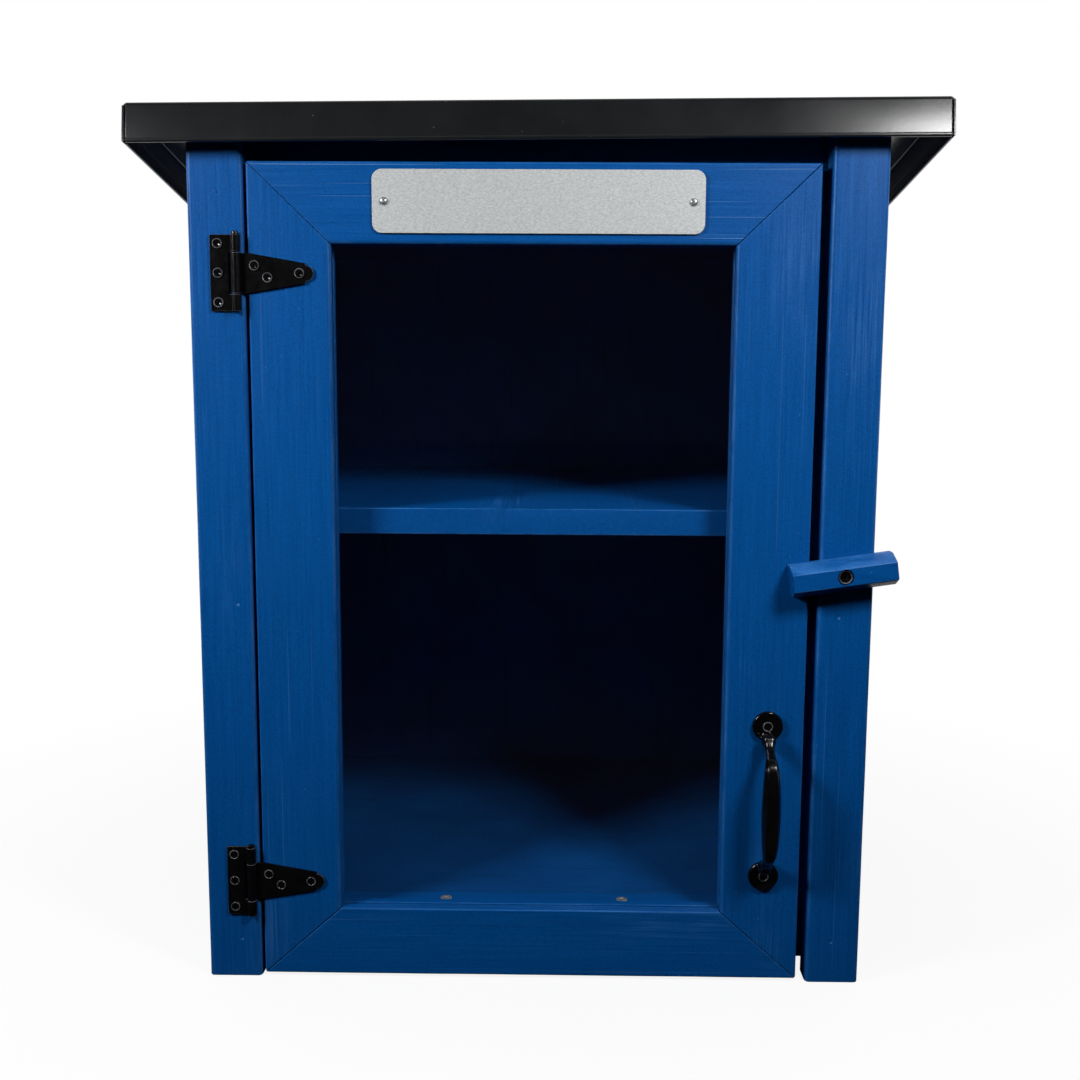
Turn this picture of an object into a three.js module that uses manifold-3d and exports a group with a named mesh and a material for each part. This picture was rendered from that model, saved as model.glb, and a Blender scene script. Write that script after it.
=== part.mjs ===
import * as THREE from "three";
import { mergeVertices } from "three/addons/utils/BufferGeometryUtils.js";
import Module from "manifold-3d";

const wasm = await Module();
wasm.setup();

// Street book exchange box: a painted wooden cabinet with one shelf, a glazed door on two tee
// hinges, a turn button that holds the door shut, and a folded sheet-metal roof that falls to
// the rear. Lengths are in millimetres. X runs to the right, Y to the back and Z up. While the
// pieces are made, Y is zero on the front of the corner boards and Z on their feet.

// Driving dimensions of the whole box. The height is that of the middle of the roof's front edge.
// The roof falls to the rear and sits a little askew, so that its right end is the higher one.
const box = { width: 457.2, depth: 381, height: 598 };
const slope = THREE.MathUtils.degToRad(8.8);
const lean = Math.tan(THREE.MathUtils.degToRad(0.6));

// Joint lines, running clearances and the run of a cutter past the face that it enters
const seam = 0.3;
const clearance = 0.25;
const overrun = 1;

// Facets: steps in a quarter round on timber, and sides of small and large turned pieces
const easingSteps = 3;
const smallSides = 12;
const largeSides = 24;

// Stock that the cabinet is cut from
const cornerBoard = { width: 37, thick: 19, easing: 3 };
const sideTrim = { width: 38, thick: 12, easing: 2 };
const sidePanel = { thick: 16, lift: 8 };
const backPanel = { thick: 12 };
const floorPanel = { thick: 18 };
const sill = { setBack: 24, thick: 19, height: 38, easing: 1.5 };
const header = { height: 38 };
const doorStop = { thick: 12, lap: 8 };
const shelf = { top: 331.6, thick: 18, setBack: 25, easing: 1.5 };
const cleat = { width: 19, thick: 19, setBack: 12 };

// Roof: a sheet-metal pan with hemmed flanges, screwed down over a plywood deck
const roof = { overhangFront: 12, overhangSide: 36, overhangRear: 20, sheet: 1.2, bend: 2.4, flange: 26 };
const hem = { height: 9, swell: 0.6, bead: 1.8 };
const deck = { thick: 12 };
const roofScrewInset = { front: 62, rear: 62 };

// Door: four mitred members, grooved on the inside for the pane
const door = { thick: 19, stile: 54.6, topRail: 52.7, bottomRail: 48.7 };
const doorGap = { hinge: 2.1, latch: 6.6, bottom: 2.5, top: 22 };
const doorEasing = { outer: 1.5, inner: 3 };
const pane = { thick: 3, setBack: 9, hold: 6 };

// Screws: radii of head and shank, how deep the head's cone sinks, its dome and the length
const hingeScrew = { head: 3.4, shank: 1.5, sink: 1.4, dome: 0.9, length: 15 };
const pullScrew = { head: 3.6, shank: 1.7, sink: 1.6, dome: 0.9, length: 17 };
const plateScrew = { head: 2.6, shank: 1.2, sink: 0, dome: 1.5, length: 12 };
const buttonScrew = { head: 4.9, shank: 2.2, sink: 0, dome: 2.6, length: 29 };
const floorScrew = { head: 4.2, shank: 2, sink: 2.2, dome: 0.5, length: 30 };
const roofScrew = { head: 5, shank: 2.1, sink: 0, dome: 2.8, length: 26 };

// Tee hinge, measured from the pin's axis and from the middle of its height
const hinge = { plate: 1.6, knuckle: 3.2, bore: 1.6, height: 49.4, middle: 27.1 };
const hingePlace = { lowerRise: 69.1, upperDrop: 71.7 };
const hingeLeaf = { width: 17.3, screwReach: 12.2, screwRise: 19, relief: 1.9, corner: 0.8 };
const strap = { root: 8, rootHalf: 13, shoulder: 45.1, shoulderHalf: 6.6, nose: 5, reach: 50.5 };
const strapScrews = [{ reach: 11.8, rise: 4.9 }, { reach: 20.3, rise: -2.8 }, { reach: 41.3, rise: 0 }];
const pin = { inset: 7, radius: 1.35, head: 2.5, cap: 2.1 };

// Pull handle, sign plate and turn button
const pull = { inset: 25.2, rise: 132.4, centres: 107.2, reach: 26, grip: 6.4, foot: 10.5, footThick: 3.2 };
const footRim = { width: 2.4, drop: 1.1, dish: 0.9 };
const plate = { width: 216.5, height: 40.7, thick: 1.5, corner: 6.5, screwInset: 7.6 };
const plateOffset = { shift: 1.1, drop: 25.3 };
const button = { length: 69.5, height: 21.8, thick: 19, shoulder: 8, face: 12.2, easing: 1 };
const buttonPlace = { inset: 14, height: 292.5 };
const buttonTilt = THREE.MathUtils.degToRad(8.2);
const counterbore = { radius: 5.4, depth: 4.2 };

// Places worked out from the sizes above
const halfWidth = box.width / 2;
const openingHalf = halfWidth - cornerBoard.width;
const wallOuter = halfWidth - sideTrim.thick - seam;
const wallInner = wallOuter - sidePanel.thick;
const wallFront = cornerBoard.thick + seam;
const backFront = box.depth - backPanel.thick;
const floorTop = sidePanel.lift + sill.height;
const sillBack = sill.setBack + sill.thick;

const fall = Math.tan(slope);
const upright = (thickness) => thickness / Math.cos(slope);
const roofTopAt = (y) => box.height - (y + roof.overhangFront) * fall;
const deckTopAt = (y) => roofTopAt(y) - upright(roof.sheet + seam);
const deckUnderAt = (y) => deckTopAt(y) - upright(deck.thick);
const wallTopAt = (y) => deckUnderAt(y) - upright(seam);
const headerBottom = wallTopAt(sillBack) - header.height;

const doorLeft = doorGap.hinge - openingHalf;
const doorRight = openingHalf - doorGap.latch;
const doorBottom = doorGap.bottom;
const doorTop = deckUnderAt(0) - doorGap.top;
const pinX = doorLeft - pin.inset;
const hingeHeights = { lower: doorBottom + hingePlace.lowerRise, upper: doorTop - hingePlace.upperDrop };
const pullPlace = { x: doorRight - pull.inset, z: pull.rise };
const platePlace = { x: plateOffset.shift, z: doorTop - plateOffset.drop };
const buttonX = openingHalf + buttonPlace.inset;

// Paint, metal and glass: each mesh gets its own material
const finishes = {
  paint: { color: 0x0b4a8c, roughness: 0.5, metalness: 0 },
  ply: { color: 0x0a4178, roughness: 0.65, metalness: 0 },
  roofing: { color: 0x1f2020, roughness: 0.35, metalness: 0.4 },
  blackSteel: { color: 0x121214, roughness: 0.4, metalness: 0.5 },
  blackGloss: { color: 0x0c0c0d, roughness: 0.2, metalness: 0.3 },
  plate: { color: 0xc8c8c6, roughness: 0.4, metalness: 0.9 },
  bright: { color: 0xb9bbbd, roughness: 0.35, metalness: 0.9 },
  glazing: { color: 0xdfe8ea, roughness: 0.05, metalness: 0, transparent: true, opacity: 0.25 },
};

// Joins equal vertices, drops collapsed triangles and returns the mesh as a closed solid.
function solidOf(geometry) {
  const bare = new THREE.BufferGeometry();
  bare.setAttribute("position", geometry.attributes.position.clone());
  bare.setIndex(geometry.index);
  const welded = mergeVertices(bare);
  const at = welded.attributes.position;
  const index = welded.index.array;
  const corners = [new THREE.Vector3(), new THREE.Vector3(), new THREE.Vector3()];
  const triangles = [];
  let volume = 0;
  for (let i = 0; i < index.length; i += 3) {
    const [a, b, c] = index.slice(i, i + 3);
    if (a !== b && b !== c && c !== a) {
      triangles.push([a, b, c]);
      [a, b, c].forEach((vertex, place) => corners[place].fromBufferAttribute(at, vertex));
      volume += corners[0].dot(corners[1].clone().cross(corners[2]));
    }
  }
  const facing = volume < 0 ? triangles.map(([a, b, c]) => [a, c, b]) : triangles;
  return new wasm.Manifold(new wasm.Mesh({
    numProp: 3,
    vertProperties: at.array,
    triVerts: Uint32Array.from(facing.flat()),
  }));
}

function geometryOf(solid) {
  const mesh = solid.getMesh();
  const geometry = new THREE.BufferGeometry();
  geometry.setAttribute("position", new THREE.BufferAttribute(Float32Array.from(mesh.vertProperties), 3));
  geometry.setIndex(new THREE.BufferAttribute(Uint32Array.from(mesh.triVerts), 1));
  geometry.computeVertexNormals();
  return geometry;
}

function cut(geometry, tools) {
  return geometryOf(tools.reduce((solid, tool) => solid.subtract(solidOf(tool)), solidOf(geometry)));
}

function join(geometries) {
  return geometryOf(geometries.map(solidOf).reduce((all, next) => all.add(next)));
}

function piece(name, geometry, finish) {
  const mesh = new THREE.Mesh(geometryOf(solidOf(geometry)), new THREE.MeshStandardMaterial(finishes[finish]));
  mesh.name = name;
  return mesh;
}

// Turns a list of corners into an outline. A corner is [x, y] or [x, y, radius of its round].
function outline(corners, steps = easingSteps) {
  const points = [];
  corners.forEach(([x, y, radius = 0], index) => {
    const corner = new THREE.Vector2(x, y);
    if (radius === 0) {
      points.push(corner);
      return;
    }
    const before = corners[(index + corners.length - 1) % corners.length];
    const after = corners[(index + 1) % corners.length];
    const toBefore = new THREE.Vector2(before[0] - x, before[1] - y).normalize();
    const toAfter = new THREE.Vector2(after[0] - x, after[1] - y).normalize();
    const half = Math.acos(toBefore.dot(toAfter)) / 2;
    const middle = toBefore.clone().add(toAfter).normalize();
    const centre = corner.clone().addScaledVector(middle, radius / Math.sin(half));
    const start = corner.clone().addScaledVector(toBefore, radius / Math.tan(half)).sub(centre);
    const end = corner.clone().addScaledVector(toAfter, radius / Math.tan(half)).sub(centre);
    const turn = Math.atan2(start.cross(end), start.dot(end));
    for (let step = 0; step <= steps; step += 1) {
      points.push(start.clone().rotateAround(new THREE.Vector2(), turn * step / steps).add(centre));
    }
  });
  return new THREE.Shape(points);
}

// Extrusions: an outline in X and Y raised along Z, in Y and Z drawn along X, or in X and Z
// drawn from a back plane towards the front.
function alongZ(shape, bottom, height) {
  return new THREE.ExtrudeGeometry(shape, { depth: height, bevelEnabled: false }).translate(0, 0, bottom);
}

function alongX(shape, left, length) {
  const cyclic = new THREE.Matrix4().set(0, 0, 1, left, 1, 0, 0, 0, 0, 1, 0, 0, 0, 0, 0, 1);
  return new THREE.ExtrudeGeometry(shape, { depth: length, bevelEnabled: false }).applyMatrix4(cyclic);
}

function towardsFront(shape, back, thickness) {
  const upended = new THREE.ExtrudeGeometry(shape, { depth: thickness, bevelEnabled: false });
  return upended.rotateX(Math.PI / 2).translate(0, back, 0);
}

// A board that stands on its end and is cut off at its top by the slope of the roof
function standing(shape, bottom, topAt) {
  const geometry = new THREE.ExtrudeGeometry(shape, { depth: 1, bevelEnabled: false });
  const at = geometry.attributes.position;
  for (let i = 0; i < at.count; i += 1) {
    const top = topAt(at.getY(i)) + at.getX(i) * lean;
    at.setZ(i, bottom + at.getZ(i) * (top - bottom));
  }
  return geometry;
}

// Lifts what lies above a height to the lean of the roof.
function leaned(geometry, above) {
  const at = geometry.attributes.position;
  for (let i = 0; i < at.count; i += 1) {
    if (at.getZ(i) > above) {
      at.setZ(i, at.getZ(i) + at.getX(i) * lean);
    }
  }
  return geometry;
}

function block(low, high) {
  const size = high.map((value, axis) => value - low[axis]);
  const centre = high.map((value, axis) => (value + low[axis]) / 2);
  return new THREE.BoxGeometry(...size).translate(...centre);
}

function turned(points, sides) {
  return new THREE.LatheGeometry(points.map(([radius, height]) => new THREE.Vector2(radius, height)), sides);
}

// Screws are turned about Y with the head up; the rim of the head lies at zero. The dome has two
// rings of corners between its rim and its top, at shares of a quarter turn.
const domeShares = [0.38, 0.71];

function screwBody(screw) {
  const round = domeShares.map((share) => [
    screw.head * Math.cos(share * Math.PI / 2),
    screw.dome * Math.sin(share * Math.PI / 2),
  ]);
  const tip = screw.shank - screw.length;
  return turned([
    [0, -screw.length], [screw.shank, tip], [screw.shank, -screw.sink],
    [screw.head, 0], ...round, [0, screw.dome],
  ], smallSides);
}

function screwHole(screw) {
  const bore = screw.shank + clearance;
  const mouth = screw.head + clearance;
  const bottom = -screw.length - clearance;
  return turned([
    [0, bottom], [bore, bottom], [bore, -screw.sink], [mouth, 0], [mouth, overrun], [0, overrun],
  ], smallSides);
}

// Places for a screw whose head looks to the front, to the sky, or square off the roof
const facing = {
  front: (x, y, z) => new THREE.Matrix4().makeRotationX(Math.PI).setPosition(x, y, z),
  up: (x, y, z) => new THREE.Matrix4().makeRotationX(Math.PI / 2).setPosition(x, y, z),
  roof: (x, y) => {
    const z = roofTopAt(y) + x * lean + upright(seam);
    return new THREE.Matrix4().makeRotationX(Math.PI / 2 - slope).setPosition(x, y, z);
  },
};

function screwPiece(name, screw, place, finish) {
  const mesh = piece(name, screwBody(screw), finish);
  mesh.applyMatrix4(place);
  return mesh;
}

function drilled(geometry, screw, places) {
  return cut(geometry, places.map((place) => screwHole(screw).applyMatrix4(place)));
}

// Screw places shared by the pieces that the screws pass through
const hingeScrewY = -seam - hinge.plate;
const leafRises = [-hingeLeaf.screwRise, 0, hingeLeaf.screwRise];
const hingeNames = ["lower", "upper"];
const leafScrewPlaces = (end) => leafRises.map((rise) => (
  facing.front(pinX - hingeLeaf.screwReach, hingeScrewY, hingeHeights[end] + rise)));
const strapScrewPlaces = (end) => strapScrews.map(({ reach, rise }) => (
  facing.front(pinX + reach, hingeScrewY, hingeHeights[end] + rise)));

const footFace = seam + pull.footThick - footRim.dish;
const pullRises = { lower: -pull.centres / 2, upper: pull.centres / 2 };
const pullScrewPlace = (end) => facing.front(pullPlace.x, -footFace, pullPlace.z + pullRises[end]);

const plateScrewY = -seam - plate.thick - seam;
const plateScrewReach = plate.width / 2 - plate.screwInset;
const plateSides = { left: -plateScrewReach, right: plateScrewReach };
const plateScrewPlace = (side) => facing.front(platePlace.x + plateSides[side], plateScrewY, platePlace.z);

const buttonScrewY = counterbore.depth - seam - button.thick - seam;
const buttonScrewPlace = facing.front(buttonX, buttonScrewY, buttonPlace.height);

const sillScrewShare = 1 / 3;
const sillScrewY = sill.setBack + sill.thick / 2;
const sillScrewX = { left: -openingHalf * sillScrewShare, right: openingHalf * sillScrewShare };
const sillScrewPlace = (side) => facing.up(sillScrewX[side], sillScrewY, floorTop);

const roofScrewX = (wallInner + wallOuter) / 2;
const roofScrewY = { front: roofScrewInset.front, rear: box.depth - roofScrewInset.rear };
const roofScrewPlace = (side, end) => facing.roof(side * roofScrewX, roofScrewY[end]);

const sides = { left: -1, right: 1 };

// Cabinet

// Front boards on the two corners, with eased front edges. They carry the hinges and the button.
function cornerBoards() {
  return Object.entries(sides).map(([side, sign]) => {
    const outer = sign * halfWidth;
    const inner = sign * openingHalf;
    const { thick, easing } = cornerBoard;
    const shape = outline([[outer, thick], [outer, 0, easing], [inner, 0, easing], [inner, thick]]);
    let board = standing(shape, 0, wallTopAt);
    if (side === "left") {
      board = drilled(board, hingeScrew, hingeNames.flatMap(leafScrewPlaces));
    } else {
      board = drilled(board, buttonScrew, [buttonScrewPlace]);
    }
    return piece(`corner_board_${side}`, board, "paint");
  });
}

// Trim that covers the side panels' edges behind the corner boards and at the rear
function sideTrims() {
  const runs = { front: [wallFront, wallFront + sideTrim.width], rear: [box.depth - sideTrim.width, box.depth] };
  return Object.entries(sides).flatMap(([side, sign]) => (
    Object.entries(runs).map(([end, [near, far]]) => {
      const outer = sign * halfWidth;
      const inner = outer - sign * sideTrim.thick;
      const round = end === "front" ? [0, sideTrim.easing] : [sideTrim.easing, sideTrim.easing];
      const shape = outline([[inner, near], [outer, near, round[0]], [outer, far, round[1]], [inner, far]]);
      return piece(`side_trim_${end}_${side}`, standing(shape, 0, wallTopAt), "paint");
    })));
}

function sidePanels() {
  return Object.entries(sides).map(([side, sign]) => {
    const shape = outline([
      [sign * wallInner, wallFront], [sign * wallOuter, wallFront],
      [sign * wallOuter, backFront - seam], [sign * wallInner, backFront - seam],
    ]);
    const panel = standing(shape, sidePanel.lift, wallTopAt);
    const places = [roofScrewPlace(sign, "front"), roofScrewPlace(sign, "rear")];
    return piece(`side_panel_${side}`, drilled(panel, roofScrew, places), "ply");
  });
}

function backBoard() {
  const shape = outline([
    [-wallOuter, backFront], [wallOuter, backFront], [wallOuter, box.depth], [-wallOuter, box.depth],
  ]);
  return piece("back_panel", standing(shape, sidePanel.lift, wallTopAt), "ply");
}

// The floor lies behind the sill, level with its top. Its recessed underside takes a post mount.
function floorAndSill() {
  const half = wallInner - seam;
  const floor = block([-half, sillBack + seam, floorTop - floorPanel.thick], [half, backFront - seam, floorTop]);
  const section = outline([
    [sill.setBack, sidePanel.lift], [sillBack, sidePanel.lift],
    [sillBack, floorTop], [sill.setBack, floorTop, sill.easing],
  ]);
  const rail = drilled(alongX(section, -half, 2 * half), floorScrew, Object.keys(sillScrewX).map(sillScrewPlace));
  const screws = Object.keys(sillScrewX).map((side) => (
    screwPiece(`sill_screw_${side}`, floorScrew, sillScrewPlace(side), "bright")));
  return [piece("floor_panel", floor, "ply"), piece("floor_sill", rail, "paint"), ...screws];
}

function headerRail() {
  const half = wallInner - seam;
  const section = outline([
    [sill.setBack, headerBottom, sill.easing], [sillBack, headerBottom],
    [sillBack, wallTopAt(sillBack)], [sill.setBack, wallTopAt(sill.setBack)],
  ]);
  const board = leaned(alongX(section, -half, 2 * half), headerBottom + header.height / 2);
  return piece("header_rail", board, "paint");
}

// Strips that the door closes against, and the shelf that is notched round them
const stopInner = { left: doorLeft + doorStop.lap, right: doorRight - doorStop.lap };
const stopBack = wallFront + doorStop.thick;

function doorStops() {
  return Object.entries(sides).map(([side, sign]) => {
    const edges = [stopInner[side], sign * (wallInner - seam)];
    const low = [Math.min(...edges), wallFront, floorTop + seam];
    const high = [Math.max(...edges), stopBack, headerBottom - seam];
    return piece(`door_stop_${side}`, block(low, high), "paint");
  });
}

function shelfBoard() {
  const half = wallInner - seam;
  const notch = stopBack + seam;
  const left = stopInner.left + seam;
  const right = stopInner.right - seam;
  const shape = outline([
    [left, shelf.setBack, shelf.easing], [right, shelf.setBack, shelf.easing], [right, notch], [half, notch],
    [half, backFront - seam], [-half, backFront - seam], [-half, notch], [left, notch],
  ]);
  return piece("shelf", alongZ(shape, shelf.top - shelf.thick, shelf.thick), "paint");
}

function shelfCleats() {
  const top = shelf.top - shelf.thick - seam;
  return Object.entries(sides).map(([side, sign]) => {
    const edges = [sign * (wallInner - seam), sign * (wallInner - seam - cleat.thick)];
    const low = [Math.min(...edges), stopBack + cleat.setBack, top - cleat.width];
    const high = [Math.max(...edges), backFront - seam, top];
    return piece(`shelf_cleat_${side}`, block(low, high), "paint");
  });
}

// Roof

function roofDeck() {
  const shape = outline([
    [0, deckUnderAt(0)], [box.depth, deckUnderAt(box.depth)],
    [box.depth, deckTopAt(box.depth)], [0, deckTopAt(0)],
  ]);
  const board = leaned(alongX(shape, -halfWidth, box.width), 0);
  return piece("roof_deck", drilled(board, roofScrew, roofScrewPlaces()), "ply");
}

function roofScrewPlaces() {
  return Object.values(sides).flatMap((sign) => [roofScrewPlace(sign, "front"), roofScrewPlace(sign, "rear")]);
}

// The pan is drawn as it lies before it is tilted: its top is at zero and its front edge at Y zero.
// Each pair of opposite flanges is one folded section. The front and rear flanges end where the
// side bends begin, which leaves the slit that the sheet needs at each corner to be folded, and
// the side hems are notched behind the front and rear hems.
function foldedSection(start, end, swell) {
  const { sheet, bend, flange } = roof;
  const inside = bend - sheet;
  const bottom = -flange;
  const fold = sheet + swell;
  return outline([
    [start + swell, 0, bend], [start + swell, bottom + hem.bead + swell], [start, bottom + hem.bead],
    [start, bottom, sheet], [start + fold + sheet, bottom, sheet], [start + fold + sheet, bottom + hem.height],
    [start + fold, bottom + hem.height], [start + fold, -sheet, inside],
    [end - fold, -sheet, inside], [end - fold, bottom + hem.height],
    [end - fold - sheet, bottom + hem.height], [end - fold - sheet, bottom, sheet], [end, bottom, sheet],
    [end, bottom + hem.bead], [end - swell, bottom + hem.bead + swell], [end - swell, 0, bend],
  ]);
}

function roofPan() {
  const half = halfWidth + roof.overhangSide;
  const length = upright(roof.overhangFront + box.depth + roof.overhangRear);
  const fascia = half - roof.bend;
  const frontAndRear = alongX(foldedSection(0, length, hem.swell), -fascia, 2 * fascia);
  const sidePair = towardsFront(foldedSection(-half, half, 0), length - hem.swell, length - 2 * hem.swell);
  const reach = half + overrun;
  const between = half - roof.sheet;
  const notch = hem.swell + roof.sheet + roof.bend;
  const under = -roof.flange - overrun;
  const hemTop = hem.height - roof.flange;
  const corners = [
    block([-reach, -overrun, -roof.bend], [reach, roof.bend + hem.swell, overrun]),
    block([-reach, length - roof.bend - hem.swell, -roof.bend], [reach, length + overrun, overrun]),
    block([-between, -overrun, under], [between, notch, hemTop]),
    block([-between, length - notch, under], [between, length + overrun, hemTop]),
  ];
  const pan = join([cut(sidePair, corners), frontAndRear]);
  pan.rotateX(-slope).translate(0, -roof.overhangFront, box.height);
  return piece("roof_cap", drilled(leaned(pan, 0), roofScrew, roofScrewPlaces()), "roofing");
}

function roofScrews() {
  return Object.entries(sides).flatMap(([side, sign]) => (
    Object.keys(roofScrewY).map((end) => (
      screwPiece(`roof_screw_${end}_${side}`, roofScrew, roofScrewPlace(sign, end), "blackSteel")))));
}

// Door

// Section of a door member, from its outer edge towards the glass and from front to back
function memberSection(width) {
  const groove = width - pane.hold;
  const front = pane.setBack - clearance;
  const back = pane.setBack + pane.thick + clearance;
  return outline([
    [0, 0, doorEasing.outer], [width, 0, doorEasing.inner], [width, front], [groove, front],
    [groove, back], [width, back], [width, door.thick], [0, door.thick],
  ]);
}

// Draws the section along the member and cuts both ends to the mitres of its neighbours.
function doorMember(width, ends, length, corner, inward, along) {
  const geometry = new THREE.ExtrudeGeometry(memberSection(width), { depth: 1, bevelEnabled: false });
  const at = geometry.attributes.position;
  const point = new THREE.Vector3();
  for (let i = 0; i < at.count; i += 1) {
    const depthIn = at.getX(i);
    const start = seam / 2 + depthIn * ends.start / width;
    const end = length - seam / 2 - depthIn * ends.end / width;
    point.copy(corner).addScaledVector(inward, depthIn);
    point.addScaledVector(along, start + at.getZ(i) * (end - start));
    at.setXYZ(i, point.x, at.getY(i), point.z);
  }
  return geometry;
}

function doorFrame() {
  const { stile, topRail, bottomRail } = door;
  const height = doorTop - doorBottom;
  const width = doorRight - doorLeft;
  const right = new THREE.Vector3(1, 0, 0);
  const left = right.clone().negate();
  const up = new THREE.Vector3(0, 0, 1);
  const down = up.clone().negate();
  const railEnds = { start: stile, end: stile };
  const stileEnds = { start: bottomRail, end: topRail };
  const corner = (x, z) => new THREE.Vector3(x, 0, z);
  const hingeStile = doorMember(stile, stileEnds, height, corner(doorLeft, doorBottom), right, up);
  const latchStile = doorMember(stile, stileEnds, height, corner(doorRight, doorBottom), left, up);
  const top = doorMember(topRail, railEnds, width, corner(doorLeft, doorTop), down, right);
  const bottom = doorMember(bottomRail, railEnds, width, corner(doorLeft, doorBottom), up, right);
  const pullPlaces = Object.keys(pullRises).map(pullScrewPlace);
  const platePlaces = Object.keys(plateSides).map(plateScrewPlace);
  return [
    piece("door_stile_hinge", drilled(hingeStile, hingeScrew, hingeNames.flatMap(strapScrewPlaces)), "paint"),
    piece("door_stile_latch", drilled(latchStile, pullScrew, pullPlaces), "paint"),
    piece("door_rail_top", drilled(top, plateScrew, platePlaces), "paint"),
    piece("door_rail_bottom", bottom, "paint"),
  ];
}

function windowPane() {
  const lap = pane.hold - clearance;
  const low = [doorLeft + door.stile - lap, pane.setBack, doorBottom + door.bottomRail - lap];
  const high = [doorRight - door.stile + lap, pane.setBack + pane.thick, doorTop - door.topRail + lap];
  return piece("window_pane", block(low, high), "glazing");
}

function signPlate() {
  const half = plate.width / 2;
  const rise = plate.height / 2;
  const { corner } = plate;
  const shape = outline([
    [-half, -rise, corner], [half, -rise, corner], [half, rise, corner], [-half, rise, corner],
  ], 2 * easingSteps);
  const sheet = towardsFront(shape, -seam, plate.thick).translate(platePlace.x, 0, platePlace.z);
  const names = Object.keys(plateSides);
  return [
    piece("sign_plate", drilled(sheet, plateScrew, names.map(plateScrewPlace)), "plate"),
    ...names.map((side) => screwPiece(`sign_screw_${side}`, plateScrew, plateScrewPlace(side), "bright")),
  ];
}

// Tee hinge: a leaf with two knuckles on the corner board, a tapered strap with the middle
// knuckle on the door, and a headed pin. Both plates lie flat on the wood behind the barrel.

// Plate rolled round the pin, seen from above, with the pin's axis at zero
function rolledEye(plateEnd) {
  const { knuckle, plate: thick } = hinge;
  const away = Math.sign(plateEnd);
  const meet = Math.acos((knuckle - thick) / knuckle);
  const steps = largeSides;
  const points = [new THREE.Vector2(plateEnd, knuckle)];
  for (let step = 0; step <= steps; step += 1) {
    const turn = (2 * Math.PI - meet) * step / steps;
    points.push(new THREE.Vector2(-away * knuckle * Math.sin(turn), knuckle * Math.cos(turn)));
  }
  points.push(new THREE.Vector2(plateEnd, knuckle - thick));
  const shape = new THREE.Shape(away < 0 ? points.reverse() : points);
  shape.holes.push(new THREE.Path().absarc(0, 0, hinge.bore, 0, 2 * Math.PI, true));
  return shape;
}

function rolledKnuckle(plateEnd, bottom, height) {
  const eye = new THREE.ExtrudeGeometry(rolledEye(plateEnd), {
    depth: height, bevelEnabled: false, curveSegments: smallSides,
  });
  return eye.translate(0, -seam - hinge.knuckle, bottom);
}

function hingeLeafGeometry() {
  const half = hinge.height / 2;
  const middle = hinge.middle / 2 + clearance;
  const inner = -hinge.knuckle - hingeLeaf.relief;
  const { width, corner } = hingeLeaf;
  const shape = outline([[-width, -half, corner], [inner, -half], [inner, half], [-width, half, corner]]);
  const flat = towardsFront(shape, -seam, hinge.plate);
  return join([
    flat,
    rolledKnuckle(inner - overrun, -half, half - middle),
    rolledKnuckle(inner - overrun, middle, half - middle),
  ]);
}

function strapGeometry() {
  const { root, rootHalf, shoulder, shoulderHalf, nose, reach } = strap;
  const half = hinge.middle / 2 - clearance / 2;
  const near = hinge.knuckle;
  const tip = reach - nose;
  const points = [
    [near, -rootHalf], [root, -rootHalf, hinge.plate], [shoulder, -shoulderHalf, hinge.plate],
    [tip, -nose], [reach, -nose, nose], [reach, nose, nose], [tip, nose],
    [shoulder, shoulderHalf, hinge.plate], [root, rootHalf, hinge.plate], [near, rootHalf],
  ];
  const flat = towardsFront(outline(points), -seam, hinge.plate);
  return join([flat, rolledKnuckle(near + overrun, -half, 2 * half)]);
}

function hingePin() {
  const { radius, head, cap } = pin;
  const half = hinge.height / 2;
  const neck = half + seam;
  return turned([
    [0, -half], [radius, -half], [radius, neck], [head, neck],
    [head, neck + cap / 2], [radius, neck + cap], [0, neck + cap],
  ], smallSides).rotateX(Math.PI / 2).translate(0, -seam - hinge.knuckle, 0);
}

function teeHinge(end) {
  const z = hingeHeights[end];
  const leaf = hingeLeafGeometry().translate(pinX, 0, z);
  const tee = strapGeometry().translate(pinX, 0, z);
  const leafScrews = leafScrewPlaces(end);
  const teeScrews = strapScrewPlaces(end);
  return [
    piece(`hinge_leaf_${end}`, drilled(leaf, hingeScrew, leafScrews), "blackSteel"),
    piece(`hinge_strap_${end}`, drilled(tee, hingeScrew, teeScrews), "blackSteel"),
    piece(`hinge_pin_${end}`, hingePin().translate(pinX, 0, z), "blackSteel"),
    ...leafScrews.map((place, i) => screwPiece(`leaf_screw_${end}_${i + 1}`, hingeScrew, place, "blackSteel")),
    ...teeScrews.map((place, i) => screwPiece(`strap_screw_${end}_${i + 1}`, hingeScrew, place, "blackSteel")),
  ];
}

// Pull handle: two dished feet joined by flared arms and a grip that swells in the middle.
// Each station is a share of half the spacing, of the reach and of the grip's radius.
const armShares = [
  [0.851, 0.05, 0.56], [0.845, 0.17, 0.66], [0.833, 0.29, 0.82], [0.795, 0.41, 0.6], [0.75, 0.55, 0.47],
  [0.725, 0.72, 0.47], [0.68, 0.865, 0.57], [0.59, 0.95, 0.72], [0.385, 0.99, 0.9],
];
const pullSteps = 40;

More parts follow.
